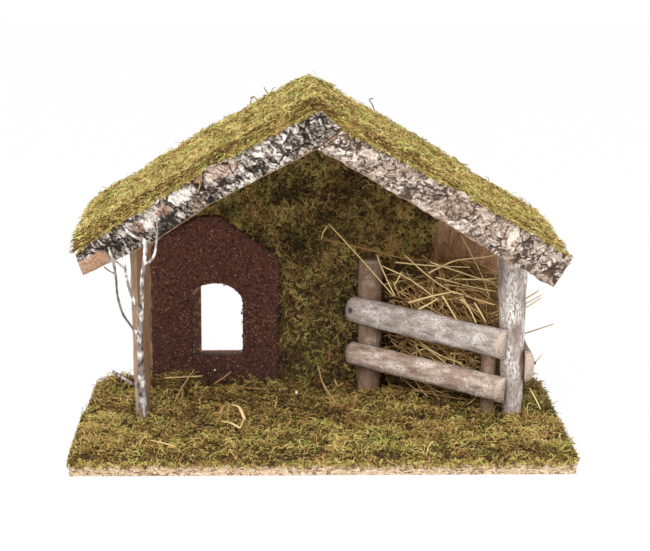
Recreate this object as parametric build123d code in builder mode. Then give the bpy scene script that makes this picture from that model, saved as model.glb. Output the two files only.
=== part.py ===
from build123d import *

import os
from math import asin, atan2, cos, radians, sin, tan

# Nativity stable, in millimetres. The origin is at the middle of the base's underside:
# +X runs to the right along the front, +Y to the back wall and +Z up.

# Shared values
cut_overrun = 5.0
seat_clearance = 0.25
nail_clearance = 0.05

# Base board and the moss that is glued on it
base_width = 330.0
base_depth = 172.0
base_thickness = 8.0
base_moss_setback = 1.0
base_moss_rim = 5.0
base_moss_crown = 9.0
base_moss_bank = 22.0

# Roof: two boards that meet on a plumb cut at the ridge, with moss on top
ridge_share = 0.4788
ridge_height = 228.0
roof_angle = 29.5
roof_thickness = 8.0
left_eave_inset = 5.25
right_eave_inset = 8.4
roof_front_share = 0.2267
roof_moss_thickness = 10.0
roof_moss_overhang = 4.0
roof_moss_round = 8.0

# Back wall: a gable board with a plain hole, a window panel and moss in front of it
wall_thickness = 8.0
wall_inset = 4.0
wall_left_inset = 38.0
wall_hole_inset = 6.0
wall_hole_width = 35.0
wall_hole_height = 58.0
wall_moss_thickness = 5.0
wall_moss_left_inset = 15.0
wall_moss_right_inset = 60.75

# Window panel: a rough red-brown panel with rounded shoulders and a low arched window
facade_thickness = 8.0
facade_inset = 6.0
facade_width = 94.0
facade_height_share = 0.769
facade_crown_radius = 12.0
facade_outline_shares = ((0, 0), (0.98, 0), (1, 0.74), (0.77, 0.955), (0.57, 1), (0.24, 0.93), (0, 0.8))
window_inset = 30.0
window_width = 36.4
window_sill_height = 37.0
window_side_height = 44.4
window_arch_rise = 9.5

# Front posts: a half log on the left and a round, tapered log on the right
left_post_inset = 44.0
left_post_depth_share = 0.4942
left_post_foot_radius = 6.2
left_post_top_radius = 8.6
left_post_flat_angle = -25.0
right_post_foot_inset = 31.2
right_post_top_inset = 34.8
right_post_depth_share = 0.5291
right_post_foot_radius = 6.7
right_post_top_radius = 11.0

# Barge boards: slabs with the bark on, nailed to the front edges of the roof boards
barge_thickness = 9.0
barge_chamfer = 2.0
barge_past_ridge = 7.0
barge_overhang = 5.0
left_barge_drop = 1.0
left_barge_tilt = 1.0
left_barge_width = 20.0
left_barge_top_shares = ((0.95, 0.08), (0.8, 0.14), (0.62, 0.27), (0.45, 0.22), (0.12, 0.13))
left_barge_low_shares = ((-0.012, -0.665), (0.1, -0.78), (0.235, -0.94), (0.51, -0.81), (0.72, -0.9))
right_barge_tilt = 0.7
right_barge_width = 22.0
right_barge_low_shares = ((1.013, -0.985), (0.82, -1.07), (0.55, -0.97), (0.28, -0.93))
joint_low_shares = (0.92, -0.995)
joint_high_shares = (1.033, -0.84)

# Manger corner: two short posts, two half-log rails across them and one rail along the right side
rear_post_inset = 128.0
rear_post_gap = 3.5
rear_post_radius = 8.5
rear_post_height = 102.0
front_post_radius = 5.0
front_post_height = 60.0
pen_clearance = 2.3
rail_depth = 9.0
rail_left_reach = 13.0
rail_right_reach = 15.0
rail_fall = 11.0
upper_rail_height = 76.0
upper_rail_left_width = 19.0
upper_rail_right_width = 20.5
lower_rail_height = 43.5
lower_rail_left_width = 16.0
lower_rail_right_width = 18.5
side_rail_height = 49.0
side_rail_width = 22.0
side_rail_depth = 9.0
side_rail_reach = 9.0

# Hay: a loose heap in the manger corner
hay_height = 78.0
hay_gap = 1.0
hay_left_gap = 6.5
hay_foot_share = 0.86
hay_top_share = 0.55
hay_belly_share = 0.45

# Twig: a small bare branch that stands by the left post and leans out in front of the barge board
twig_side_offset = 0.4
twig_front_offset = 13.0
twig_foot_radius = 2.6
twig_height_share = 1.134
twig_spread_share = 0.2133
twig_gap = 3.0
twig_tip_share = 0.3
twig_knot_share = 1.06

# Nails: thin brads with small heads
nail_radius = 0.6
nail_length = 18.0
nail_head_radius = 1.2
nail_head_height = 0.8
nail_recess = 0.2
wall_nail_shares = (0.1, 0.5, 0.9)
roof_nail_shares = (0.25, 0.6)
half_log_core_share = 0.42
barge_nail_shares = (0.15, 0.5, 0.85)

# Places that follow from the sizes
slope = tan(radians(roof_angle))
plumb_share = 1 / cos(radians(roof_angle))
half_width = base_width / 2
half_depth = base_depth / 2
ridge_x = ridge_share * base_width - half_width
left_slope_length = (ridge_x + half_width - left_eave_inset) * plumb_share
right_slope_length = (half_width - right_eave_inset - ridge_x) * plumb_share
roof_front_y = roof_front_share * base_depth - half_depth
roof_back_y = half_depth
roof_length = roof_back_y - roof_front_y
left_post_x = left_post_inset - half_width
left_post_y = left_post_depth_share * base_depth - half_depth
right_post_foot_x = half_width - right_post_foot_inset
right_post_top_x = half_width - right_post_top_inset
right_post_y = right_post_depth_share * base_depth - half_depth
wall_left_x = wall_left_inset - half_width
wall_back_y = half_depth - wall_inset
wall_front_y = wall_back_y - wall_thickness
wall_middle_y = wall_back_y - wall_thickness / 2
facade_left_x = wall_left_x + facade_inset
window_left_x = facade_left_x + window_inset
rear_post_x = half_width - rear_post_inset
rear_post_y = wall_front_y - wall_moss_thickness - rear_post_gap - rear_post_radius
side_rail_front_y = right_post_y - side_rail_reach
moss_top_z = base_thickness + base_moss_crown
soffit_ridge_height = ridge_height - roof_thickness * plumb_share
hang = (Align.CENTER, Align.CENTER, Align.MAX)
stand = (Align.CENTER, Align.CENTER, Align.MIN)


def soffit_height(x):
    """Height of the roof boards' underside above the ground at x."""
    return soffit_ridge_height - abs(x - ridge_x) * slope


right_post_top = soffit_height(right_post_top_x - right_post_top_radius) + cut_overrun


def right_post_radius(height):
    """Radius of the tapered right post at this height."""
    share = (height - base_thickness) / (right_post_top - base_thickness)
    return right_post_foot_radius + share * (right_post_top_radius - right_post_foot_radius)


def right_post_side(height):
    """The outer side of the tapered right post at this height."""
    share = (height - base_thickness) / (right_post_top - base_thickness)
    middle = right_post_foot_x + share * (right_post_top_x - right_post_foot_x)
    return middle + right_post_radius(height)


# The wall ends in line with the right post's outer side, so that the side rail crosses both
side_rail_low = side_rail_height - side_rail_width / 2
side_rail_high = side_rail_height + side_rail_width / 2
wall_right_x = max(right_post_side(side_rail_low), right_post_side(side_rail_high))
wall_width = wall_right_x - wall_left_x
wall_moss_left_x = wall_left_x + wall_moss_left_inset
wall_moss_right_x = wall_right_x - wall_moss_right_inset
facade_height = facade_height_share * (soffit_height(facade_left_x + facade_width / 2) - base_thickness)


def slope_point(side, along, above):
    """A point of the front view: along the slope from the ridge, and square above the board's top."""
    dip = radians(roof_angle)
    x = ridge_x + side * (along * cos(dip) + above * sin(dip))
    return (x, ridge_height - along * sin(dip) + above * cos(dip))


def ridge_point(above):
    """A point on the plumb ridge line, for a layer that lies so far above the boards' top."""
    return (ridge_x, ridge_height + above * plumb_share)


def barge_point(start, angle, along, across):
    """A point of the front view, measured from a barge board's upper corner."""
    turn = radians(angle)
    x = start[0] + along * cos(turn) - across * sin(turn)
    return (x, start[1] + along * sin(turn) + across * cos(turn))


def nail_holes(planes):
    """Clear the way of nails whose heads lie on these planes through the piece being made."""
    head_room = nail_head_radius + nail_clearance
    with Locations(*planes):
        Cylinder(head_room, nail_head_height + nail_clearance, align=hang, mode=Mode.SUBTRACT)
        Cylinder(head_room, cut_overrun, align=stand, mode=Mode.SUBTRACT)
        Cylinder(nail_radius + nail_clearance, nail_length + nail_clearance, align=hang, mode=Mode.SUBTRACT)


def nails(planes):
    """Drive one nail from each plane, head first, against the plane's direction."""
    with Locations(*planes):
        Cylinder(nail_head_radius, nail_head_height, align=hang)
        Cylinder(nail_radius, nail_length, align=hang)


# The pen's line touches the rear post's front and passes just in front of the right post
rear_to_right = Vector(right_post_foot_x - rear_post_x, right_post_y - rear_post_y, 0)
pen_right_room = right_post_radius(upper_rail_height) + pen_clearance
pen_rear_room = rear_post_radius + seat_clearance
pen_skew = asin((pen_rear_room - pen_right_room) / rear_to_right.length)
pen_turn = atan2(rear_to_right.Y, rear_to_right.X) + pen_skew
pen_along = Vector(cos(pen_turn), sin(pen_turn), 0)
pen_out = Vector(sin(pen_turn), -cos(pen_turn), 0)
rear_post_foot = Vector(rear_post_x, rear_post_y, base_thickness)
pen_start = rear_post_foot + pen_out * pen_rear_room
short_post_gap = right_post_radius(base_thickness + front_post_height) + front_post_radius + pen_clearance
pen_span = rear_to_right.dot(pen_along) - short_post_gap
front_post_foot = pen_start + pen_along * pen_span - pen_out * (front_post_radius + seat_clearance)
pen_face = Plane(origin=(pen_start.X, pen_start.Y, 0), x_dir=pen_along, z_dir=pen_out)
rail_run = rail_left_reach + pen_span + rail_right_reach
rail_drop = rail_fall / rail_run

# Where the nails go: up through the base, down through the roof, and through barge boards and rails
flat_turn = radians(left_post_flat_angle)
left_post_core_x = left_post_x - half_log_core_share * left_post_foot_radius * cos(flat_turn)
left_post_core_y = left_post_y - half_log_core_share * left_post_foot_radius * sin(flat_turn)
base_nail_spots = [(left_post_core_x, left_post_core_y), (right_post_foot_x, right_post_y)]
base_nail_spots += [(rear_post_x, rear_post_y), (front_post_foot.X, front_post_foot.Y)]
base_nail_spots += [(wall_left_x + wall_width * share, wall_middle_y) for share in wall_nail_shares]
base_nail_planes = [Plane((x, y, nail_recess), z_dir=(0, 0, -1)) for x, y in base_nail_spots]


def roof_nail_plane(side, along, y):
    """Where a nail's head lies, just under the top of a roof board."""
    x, z = slope_point(side, along, -nail_recess)
    return Plane((x, y, z), z_dir=(side * sin(radians(roof_angle)), 0, cos(radians(roof_angle))))


left_wall_run = (ridge_x - wall_left_x) * plumb_share
right_wall_run = (wall_right_x - ridge_x) * plumb_share
nail_drift = (roof_thickness + nail_length) / 2 * slope
left_post_run = (ridge_x - left_post_core_x) * plumb_share + nail_drift
right_post_run = (right_post_top_x - ridge_x) * plumb_share + nail_drift
left_roof_nail_spots = [(left_wall_run * share, wall_middle_y) for share in roof_nail_shares]
left_roof_nail_spots += [(left_post_run, left_post_core_y)]
right_roof_nail_spots = [(right_wall_run * share, wall_middle_y) for share in roof_nail_shares]
right_roof_nail_spots += [(right_post_run, right_post_y)]
left_roof_nail_planes = [roof_nail_plane(-1, along, y) for along, y in left_roof_nail_spots]
right_roof_nail_planes = [roof_nail_plane(1, along, y) for along, y in right_roof_nail_spots]


def barge_nail_plane(side, along):
    """Where a nail's head lies in a barge board, level with the middle of the roof board behind it."""
    x, z = slope_point(side, along, -roof_thickness / 2)
    return Plane((x, roof_front_y - barge_thickness + nail_recess, z), z_dir=(0, -1, 0))


left_barge_nail_planes = [barge_nail_plane(-1, left_slope_length * share) for share in barge_nail_shares]
right_barge_nail_planes = [barge_nail_plane(1, right_slope_length * share) for share in barge_nail_shares]


def rail_nail_planes(height):
    """Nail heads on a rail's round front, one at each of the two short posts."""
    stations = (0, pen_span)
    heights = [height - rail_drop * (rail_left_reach + station) for station in stations]
    depth = rail_depth - nail_recess
    spots = [pen_face.from_local_coords((s, h, depth)) for s, h in zip(stations, heights)]
    return [Plane(spot, z_dir=pen_out) for spot in spots]


upper_rail_nail_planes = rail_nail_planes(upper_rail_height)
lower_rail_nail_planes = rail_nail_planes(lower_rail_height)
side_rail_out_x = wall_right_x + seat_clearance + side_rail_depth
side_nail_x = side_rail_out_x - nail_recess
side_nail_spots = [(side_nail_x, y, side_rail_height) for y in (wall_middle_y, right_post_y)]
side_nail_planes = [Plane(spot, z_dir=(1, 0, 0)) for spot in side_nail_spots]

# Base board
with BuildPart() as base_board:
    Box(base_width, base_depth, base_thickness, align=stand)
    nail_holes(base_nail_planes)

# Back wall: the gable's upper edges carry the roof boards
with BuildPart() as back_wall:
    with BuildSketch(Plane.XZ.offset(-wall_back_y)):
        with BuildLine():
            Polyline(
                (wall_left_x, base_thickness),
                (wall_right_x, base_thickness),
                (wall_right_x, soffit_height(wall_right_x)),
                (ridge_x, soffit_ridge_height),
                (wall_left_x, soffit_height(wall_left_x)),
                close=True,
            )
        make_face()
        with Locations((window_left_x + wall_hole_inset, window_sill_height)):
            Rectangle(wall_hole_width, wall_hole_height, align=(Align.MIN, Align.MIN), mode=Mode.SUBTRACT)
    extrude(amount=wall_thickness)
    nail_holes(base_nail_planes)
    nail_holes(left_roof_nail_planes + right_roof_nail_planes)
    nail_holes(side_nail_planes)

# Window panel, glued on the wall
facade_plane = Plane.XZ.offset(-wall_front_y)
facade_grid = [(u * facade_width, v * facade_height) for u, v in facade_outline_shares]

with BuildSketch(facade_plane) as facade_outline:
    with BuildLine():
        Polyline(*[(facade_left_x + across, base_thickness + up) for across, up in facade_grid], close=True)
    make_face()
    fillet(facade_outline.vertices().group_by(Axis.Y)[-1], facade_crown_radius)
    fillet(facade_outline.vertices().sort_by(Axis.X)[-1:], facade_crown_radius)

window_right_x = window_left_x + window_width
window_spring = window_sill_height + window_side_height
window_crown = (window_left_x + window_width / 2, window_spring + window_arch_rise)

with BuildPart() as window_facade:
    extrude(facade_outline.sketch, amount=facade_thickness)
    with BuildSketch(facade_plane):
        with BuildLine():
            Polyline(
                (window_left_x, window_spring),
                (window_left_x, window_sill_height),
                (window_right_x, window_sill_height),
                (window_right_x, window_spring),
            )
            ThreePointArc((window_right_x, window_spring), window_crown, (window_left_x, window_spring))
        make_face()
    extrude(amount=facade_thickness, mode=Mode.SUBTRACT)

# Moss on the wall: beside and above the window panel, up to the soffit
with BuildPart() as back_wall_moss:
    with BuildSketch(facade_plane):
        with BuildLine():
            Polyline(
                (wall_moss_left_x, moss_top_z + seat_clearance),
                (wall_moss_right_x, moss_top_z + seat_clearance),
                (wall_moss_right_x, soffit_height(wall_moss_right_x) - seat_clearance),
                (ridge_x, soffit_ridge_height - seat_clearance),
                (wall_moss_left_x, soffit_height(wall_moss_left_x) - seat_clearance),
                close=True,
            )
        make_face()
    extrude(amount=wall_moss_thickness)
    with BuildSketch(facade_plane):
        add(facade_outline.sketch)
        offset(amount=seat_clearance)
        with Locations((facade_left_x, base_thickness)):
            Rectangle(facade_width / 2, facade_height / 2, align=(Align.CENTER, Align.MIN))
    extrude(amount=wall_moss_thickness, mode=Mode.SUBTRACT)

# Roof boards and their moss, left and right of the plumb ridge cut
roof_plane = Plane.XZ.offset(-roof_back_y)

with BuildPart() as left_roof_board:
    with BuildSketch(roof_plane):
        with BuildLine():
            Polyline(
                ridge_point(0),
                slope_point(-1, left_slope_length, 0),
                slope_point(-1, left_slope_length, -roof_thickness),
                ridge_point(-roof_thickness),
                close=True,
            )
        make_face()
    extrude(amount=roof_length)
    nail_holes(left_roof_nail_planes)
    nail_holes(left_barge_nail_planes)

with BuildPart() as right_roof_board:
    with BuildSketch(roof_plane):
        with BuildLine():
            Polyline(
                ridge_point(0),
                slope_point(1, right_slope_length, 0),
                slope_point(1, right_slope_length, -roof_thickness),
                ridge_point(-roof_thickness),
                close=True,
            )
        make_face()
    extrude(amount=roof_length)
    nail_holes(right_roof_nail_planes)
    nail_holes(right_barge_nail_planes)

with BuildPart() as left_roof_moss:
    with BuildSketch(roof_plane):
        with BuildLine():
            Polyline(
                ridge_point(0),
                slope_point(-1, left_slope_length + roof_moss_overhang, 0),
                slope_point(-1, left_slope_length + roof_moss_overhang, roof_moss_thickness),
                ridge_point(roof_moss_thickness),
                close=True,
            )
        make_face()
    extrude(amount=roof_length - seat_clearance)
    fillet(left_roof_moss.edges().filter_by(Axis.Y).sort_by(Axis.X)[:1], roof_moss_round)

with BuildPart() as right_roof_moss:
    with BuildSketch(roof_plane):
        with BuildLine():
            Polyline(
                ridge_point(0),
                slope_point(1, right_slope_length + roof_moss_overhang, 0),
                slope_point(1, right_slope_length + roof_moss_overhang, roof_moss_thickness),
                ridge_point(roof_moss_thickness),
                close=True,
            )
        make_face()
    extrude(amount=roof_length - seat_clearance)
    fillet(right_roof_moss.edges().filter_by(Axis.Y).sort_by(Axis.X)[-1:], roof_moss_round)

# Barge boards: the left one runs past the ridge, and the right one butts against its lower edge
barge_plane = Plane.XZ.offset(-roof_front_y)
left_barge_length = left_slope_length + barge_past_ridge
left_barge_start = slope_point(-1, left_slope_length, -left_barge_drop)


def left_barge_point(shares):
    """A point of the left barge board's outline, from shares of its length and width."""
    along = shares[0] * left_barge_length
    return barge_point(left_barge_start, roof_angle + left_barge_tilt, along, shares[1] * left_barge_width)


joint_low = left_barge_point(joint_low_shares)
joint_high = left_barge_point(joint_high_shares)
right_barge_start = (joint_high[0] + seat_clearance, joint_high[1] - seat_clearance)
right_barge_foot = (joint_low[0] + seat_clearance, joint_low[1] - seat_clearance)
right_barge_length = right_slope_length + barge_overhang - (right_barge_start[0] - ridge_x) * plumb_share


def right_barge_point(shares):
    """A point of the right barge board's outline, from shares of its length and width."""
    along = shares[0] * right_barge_length
    return barge_point(right_barge_start, right_barge_tilt - roof_angle, along, shares[1] * right_barge_width)


with BuildPart() as left_barge_board:
    with BuildSketch(barge_plane):
        with BuildLine():
            low_edge = [left_barge_point(shares) for shares in left_barge_low_shares]
            top_edge = [left_barge_point(shares) for shares in left_barge_top_shares]
            high_end = left_barge_point((1, 0))
            Polyline(left_barge_start, *low_edge, joint_low, joint_high, high_end, *top_edge, close=True)
        make_face()
    extrude(amount=barge_thickness)
    chamfer(left_barge_board.faces().sort_by(Axis.Y)[0].edges(), barge_chamfer)
    nail_holes(left_barge_nail_planes)

with BuildPart() as right_barge_board:
    with BuildSketch(barge_plane):
        with BuildLine():
            low_edge = [right_barge_point(shares) for shares in right_barge_low_shares]
            Polyline(right_barge_start, right_barge_point((1, 0)), *low_edge, right_barge_foot, close=True)
        make_face()
    extrude(amount=barge_thickness)
    chamfer(right_barge_board.faces().sort_by(Axis.Y)[0].edges(), barge_chamfer)
    nail_holes(right_barge_nail_planes)

# Front posts, cut to the soffit
with BuildSketch(Plane.XZ) as above_soffit:
    with BuildLine():
        Polyline(
            (-base_width, soffit_height(-base_width)),
            (ridge_x, soffit_ridge_height),
            (base_width, soffit_height(base_width)),
            (base_width, ridge_height + base_width),
            (-base_width, ridge_height + base_width),
            close=True,
        )
    make_face()

left_post_top = soffit_height(left_post_x + left_post_top_radius) + cut_overrun
left_post_ends = ((base_thickness, left_post_foot_radius), (left_post_top, left_post_top_radius))

with BuildPart() as left_post:
    for height, radius in left_post_ends:
        with BuildSketch(Plane((left_post_x, left_post_y, height))):
            with BuildLine(Plane.XY.rotated((0, 0, left_post_flat_angle))):
                Line((0, -radius), (0, radius))
                ThreePointArc((0, radius), (-radius, 0), (0, -radius))
            make_face()
    loft()
    extrude(above_soffit.sketch, amount=base_depth, both=True, mode=Mode.SUBTRACT)
    nail_holes(base_nail_planes)
    nail_holes(left_roof_nail_planes)

right_post_ends = (
    (base_thickness, right_post_foot_x, right_post_foot_radius),
    (right_post_top, right_post_top_x, right_post_top_radius),
)

with BuildPart() as right_post:
    for height, x, radius in right_post_ends:
        with BuildSketch(Plane((x, right_post_y, height))):
            Circle(radius)
    loft()
    extrude(above_soffit.sketch, amount=base_depth, both=True, mode=Mode.SUBTRACT)
    nail_holes(base_nail_planes)
    nail_holes(right_roof_nail_planes)
    nail_holes(side_nail_planes)

# Manger posts
with BuildPart() as rear_manger_post:
    with Locations(rear_post_foot):
        Cylinder(rear_post_radius, rear_post_height, align=stand)
    nail_holes(base_nail_planes)
    nail_holes(upper_rail_nail_planes + lower_rail_nail_planes)

with BuildPart() as front_manger_post:
    with Locations(front_post_foot):
        Cylinder(front_post_radius, front_post_height, align=stand)
    nail_holes(base_nail_planes)
    nail_holes(upper_rail_nail_planes + lower_rail_nail_planes)

# Rails: half logs with their flat side against the posts
rail_direction = pen_face.from_local_coords((rail_run, -rail_fall, 0)) - pen_face.from_local_coords((0, 0, 0))


def half_log_face(width, depth):
    """Draw a half log's section in the current sketch: flat at x = 0, round towards +x."""
    with BuildLine() as outline:
        Line((0, -width / 2), (0, width / 2))
        ThreePointArc((0, width / 2), (depth, 0), (0, -width / 2))
    make_face(outline.edges())


def rail_end_plane(height, reach, station):
    """The plane of a rail's section, so far along the pen from the rear post."""
    drop = rail_drop * reach
    return Plane(pen_face.from_local_coords((station, height - drop, 0)), x_dir=pen_out, z_dir=rail_direction)


with BuildPart() as upper_rail:
    with BuildSketch(rail_end_plane(upper_rail_height, 0, -rail_left_reach)):
        half_log_face(upper_rail_left_width, rail_depth)
    with BuildSketch(rail_end_plane(upper_rail_height, rail_run, pen_span + rail_right_reach)):
        half_log_face(upper_rail_right_width, rail_depth)
    loft()
    nail_holes(upper_rail_nail_planes)

with BuildPart() as lower_rail:
    with BuildSketch(rail_end_plane(lower_rail_height, 0, -rail_left_reach)):
        half_log_face(lower_rail_left_width, rail_depth)
    with BuildSketch(rail_end_plane(lower_rail_height, rail_run, pen_span + rail_right_reach)):
        half_log_face(lower_rail_right_width, rail_depth)
    loft()
    nail_holes(lower_rail_nail_planes)

side_rail_start = (wall_right_x + seat_clearance, wall_back_y, side_rail_height)

with BuildPart() as side_rail:
    with BuildSketch(Plane(side_rail_start, x_dir=(1, 0, 0), z_dir=(0, -1, 0))):
        half_log_face(side_rail_width, side_rail_depth)
    extrude(amount=wall_back_y - side_rail_front_y)
    nail_holes(side_nail_planes)

# Twig: each limb is a chain of (x, y, z) shares of the spread, the lean and the height
twig_limbs_shares = (
    ((0, 0, 0), (0, 0, 0.07), (0, -0.14, 0.22), (0, -0.465, 0.47)),
    ((0, -0.465, 0.47), (0.085, -0.74, 0.666), (0.167, -1.01, 0.847)),
    ((0.167, -1.01, 0.847), (0.31, -1.01, 0.862), (0.403, -1.01, 0.91)),
    ((0.403, -1.01, 0.91), (0.44, -1.02, 0.99), (0.426, -1.02, 1.063)),
    ((0.167, -1.01, 0.847), (0.206, -1.015, 0.944), (-0.023, -1.02, 0.968), (-0.21, -1.02, 1.003)),
    ((0, -0.465, 0.47), (-0.322, -0.626, 0.594), (-0.41, -0.83, 0.722), (-0.436, -1.01, 0.847)),
    ((-0.436, -1.01, 0.847), (-0.548, -1.015, 0.922)),
    ((-0.427, -0.955, 0.8), (-0.64, -1, 0.833)),
    ((0.044, -0.6, 0.574), (-0.079, -0.73, 0.661), (-0.219, -0.99, 0.828), (-0.259, -1.015, 0.909)),
    ((0.008, -0.12, 0.203), (-0.299, -0.175, 0.246), (-0.623, -0.243, 0.299)),
)

# The twig passes under the left barge board and then rises in front of its face
twig_x = left_post_x - twig_side_offset
twig_y = left_post_y - twig_front_offset
barge_hang = (left_barge_width - roof_thickness) * plumb_share
twig_height = twig_height_share * (soffit_height(twig_x) - barge_hang - base_thickness)
twig_spread = twig_spread_share * twig_height
twig_lean = twig_y - (roof_front_y - barge_thickness - twig_gap)


def twig_point(shares):
    """A point of the twig, from shares of its spread, lean and height."""
    x, y, z = shares
    return Vector(twig_x + x * twig_spread, twig_y + y * twig_lean, base_thickness + z * twig_height)


def twig_radius(shares):
    """The twig's radius there: it thins evenly with height, and with the way out to a side."""
    return twig_foot_radius * (1 - (1 - twig_tip_share) * max(shares[2], abs(shares[0])))


with BuildPart() as twig:
    for limb in twig_limbs_shares:
        for low, high in zip(limb[:-1], limb[1:]):
            foot = twig_point(low)
            reach = twig_point(high) - foot
            with Locations(Plane(foot, z_dir=reach)):
                Cone(twig_radius(low), twig_radius(high), reach.length, align=stand)
            with Locations(twig_point(high)):
                Sphere(twig_radius(high) * twig_knot_share)
    split(bisect_by=Plane.XY.offset(base_thickness), keep=Keep.TOP)

# Hay heap: fills the corner behind the rails
hay_right_x = wall_right_x - hay_gap
hay_back_y = wall_front_y - wall_moss_thickness - hay_gap
hay_corner = pen_face.from_local_coords((pen_span, 0, -2 * front_post_radius - hay_gap))
hay_edge = pen_face.from_local_coords((pen_span / 2, 0, -hay_gap))
hay_left_x = rear_post_x + rear_post_radius + hay_left_gap
hay_points = [(hay_left_x, hay_back_y), (hay_right_x, hay_back_y)]
hay_points += [(hay_right_x, hay_corner.Y + front_post_radius), (hay_corner.X, hay_corner.Y + hay_gap)]
hay_points += [(hay_edge.X, hay_edge.Y + hay_gap)]
hay_levels = ((0, hay_foot_share), (hay_belly_share * hay_height, 1), (hay_height, hay_top_share))

with BuildPart() as hay_bundle:
    for level, size_share in hay_levels:
        outline = [((x - hay_right_x) * size_share, (y - hay_back_y) * size_share) for x, y in hay_points]
        with BuildSketch(Plane((hay_right_x, hay_back_y, moss_top_z + seat_clearance + level))):
            with BuildLine():
                Polyline(*outline, close=True)
            make_face()
    loft(ruled=True)

# Moss on the base: a low cushion with a bank at its rim, cleared for everything that stands on the board
moss_width = base_width - 2 * base_moss_setback
moss_depth = base_depth - 2 * base_moss_setback
moss_levels = ((0, 0), (base_moss_rim, 0), (base_moss_crown, base_moss_bank))

with BuildPart() as base_moss:
    for level, bank in moss_levels:
        with BuildSketch(Plane.XY.offset(base_thickness + level)):
            Rectangle(moss_width - 2 * bank, moss_depth - 2 * bank)
    loft(ruled=True)
    with BuildSketch(Plane.XY.offset(base_thickness)):
        with Locations((wall_left_x + wall_width / 2, wall_middle_y)):
            Rectangle(wall_width + 2 * seat_clearance, wall_thickness + 2 * seat_clearance)
        with Locations((facade_left_x + facade_width / 2, wall_front_y - facade_thickness / 2)):
            Rectangle(facade_width + 2 * seat_clearance, facade_thickness + 2 * seat_clearance)
        with Locations((left_post_x, left_post_y)):
            Circle(left_post_foot_radius + 2 * seat_clearance)
        with Locations((right_post_foot_x, right_post_y)):
            Circle(right_post_foot_radius + 2 * seat_clearance)
        with Locations((rear_post_x, rear_post_y)):
            Circle(rear_post_radius + seat_clearance)
        with Locations((front_post_foot.X, front_post_foot.Y)):
            Circle(front_post_radius + seat_clearance)
        with Locations((twig_x, twig_y)):
            Circle(twig_foot_radius + 2 * seat_clearance)
    extrude(amount=base_moss_crown + cut_overrun, mode=Mode.SUBTRACT)

# Nails
with BuildPart() as base_nails:
    nails(base_nail_planes)

with BuildPart() as roof_nails:
    nails(left_roof_nail_planes + right_roof_nail_planes)

with BuildPart() as barge_nails:
    nails(left_barge_nail_planes + right_barge_nail_planes)

with BuildPart() as rail_nails:
    nails(upper_rail_nail_planes + lower_rail_nail_planes + side_nail_planes)

pieces = {
    "base_board": base_board,
    "base_moss": base_moss,
    "back_wall": back_wall,
    "back_wall_moss": back_wall_moss,
    "window_facade": window_facade,
    "left_roof_board": left_roof_board,
    "right_roof_board": right_roof_board,
    "left_roof_moss": left_roof_moss,
    "right_roof_moss": right_roof_moss,
    "left_barge_board": left_barge_board,
    "right_barge_board": right_barge_board,
    "left_post": left_post,
    "right_post": right_post,
    "rear_manger_post": rear_manger_post,
    "front_manger_post": front_manger_post,
    "upper_rail": upper_rail,
    "lower_rail": lower_rail,
    "side_rail": side_rail,
    "twig": twig,
    "hay_bundle": hay_bundle,
    "base_nails": base_nails,
    "roof_nails": roof_nails,
    "barge_nails": barge_nails,
    "rail_nails": rail_nails,
}

os.makedirs("parts", exist_ok=True)
for name, piece in pieces.items():
    piece.part.label = name
    export_step(piece.part, f"parts/{name}.step")
    print(name, len(piece.part.solids()), round(piece.part.volume))
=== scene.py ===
# %% [markdown]
# # A nativity stable of boards, bark and moss
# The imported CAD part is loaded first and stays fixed: boards, wall and nails keep their CAD
# meshes and only get finishes. Everything that grew (moss, bark, logs, twig, hay) is rebuilt here
# as fine meshes in the same frame, each standing for the plain CAD solid in its place.

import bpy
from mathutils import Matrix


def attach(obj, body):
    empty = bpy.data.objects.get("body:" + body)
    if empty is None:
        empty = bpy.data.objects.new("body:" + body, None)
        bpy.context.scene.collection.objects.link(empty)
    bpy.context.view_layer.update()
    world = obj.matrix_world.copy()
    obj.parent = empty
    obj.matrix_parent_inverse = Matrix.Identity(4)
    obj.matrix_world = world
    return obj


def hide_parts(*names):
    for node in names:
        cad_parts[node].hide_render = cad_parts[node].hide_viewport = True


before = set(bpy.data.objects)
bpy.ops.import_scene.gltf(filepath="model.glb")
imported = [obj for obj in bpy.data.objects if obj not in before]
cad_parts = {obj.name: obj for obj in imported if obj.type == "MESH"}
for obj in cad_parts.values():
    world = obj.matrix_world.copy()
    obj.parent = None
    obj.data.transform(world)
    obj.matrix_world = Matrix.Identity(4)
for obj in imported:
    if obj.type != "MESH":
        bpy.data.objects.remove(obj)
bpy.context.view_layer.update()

# %% Tools and units
import itertools
import math

import bpy
import numpy as np
from mathutils import Matrix, Vector

MM = 0.001
UP = np.array([0.0, 0.0, 1.0])
print("working in millimetres, built in metres")

# %% [markdown]
# ## Sizes repeated from the CAD part
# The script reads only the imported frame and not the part's source, so the few sizes that the grown
# pieces follow are written again here, in millimetres. The roof is measured along its slope from
# the ridge, and its sides are -1 for the left one and 1 for the right one. The pen is the corner
# behind the rails.

# %% Sizes of the frame
BASE_HALF_WIDTH, BASE_HALF_DEPTH, BASE_TOP = 165.0, 86.0, 8.0
RIDGE_X, RIDGE_Z, ROOF_DIP = -7.0, 228.0, math.radians(29.5)
ROOF_FRONT_Y, ROOF_BACK_Y, ROOF_BOARD = -47.0, 86.0, 8.0
SLOPE_LENGTHS = {-1: 175.5, 1: 188.0}
SOFFIT_RIDGE_Z = RIDGE_Z - ROOF_BOARD / math.cos(ROOF_DIP)
WALL_FRONT_Y = 74.0
PEN_START = np.array([32.7, 49.38, 0.0])
PEN_ALONG = np.array([0.871, -0.4913, 0.0])
PEN_OUT = np.array([-0.4913, -0.871, 0.0])
PEN_SPAN = 94.07


def soffit_height(x):
    """Height of the roof boards' underside at x."""
    return SOFFIT_RIDGE_Z - np.abs(np.asarray(x) - RIDGE_X) * math.tan(ROOF_DIP)


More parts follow.
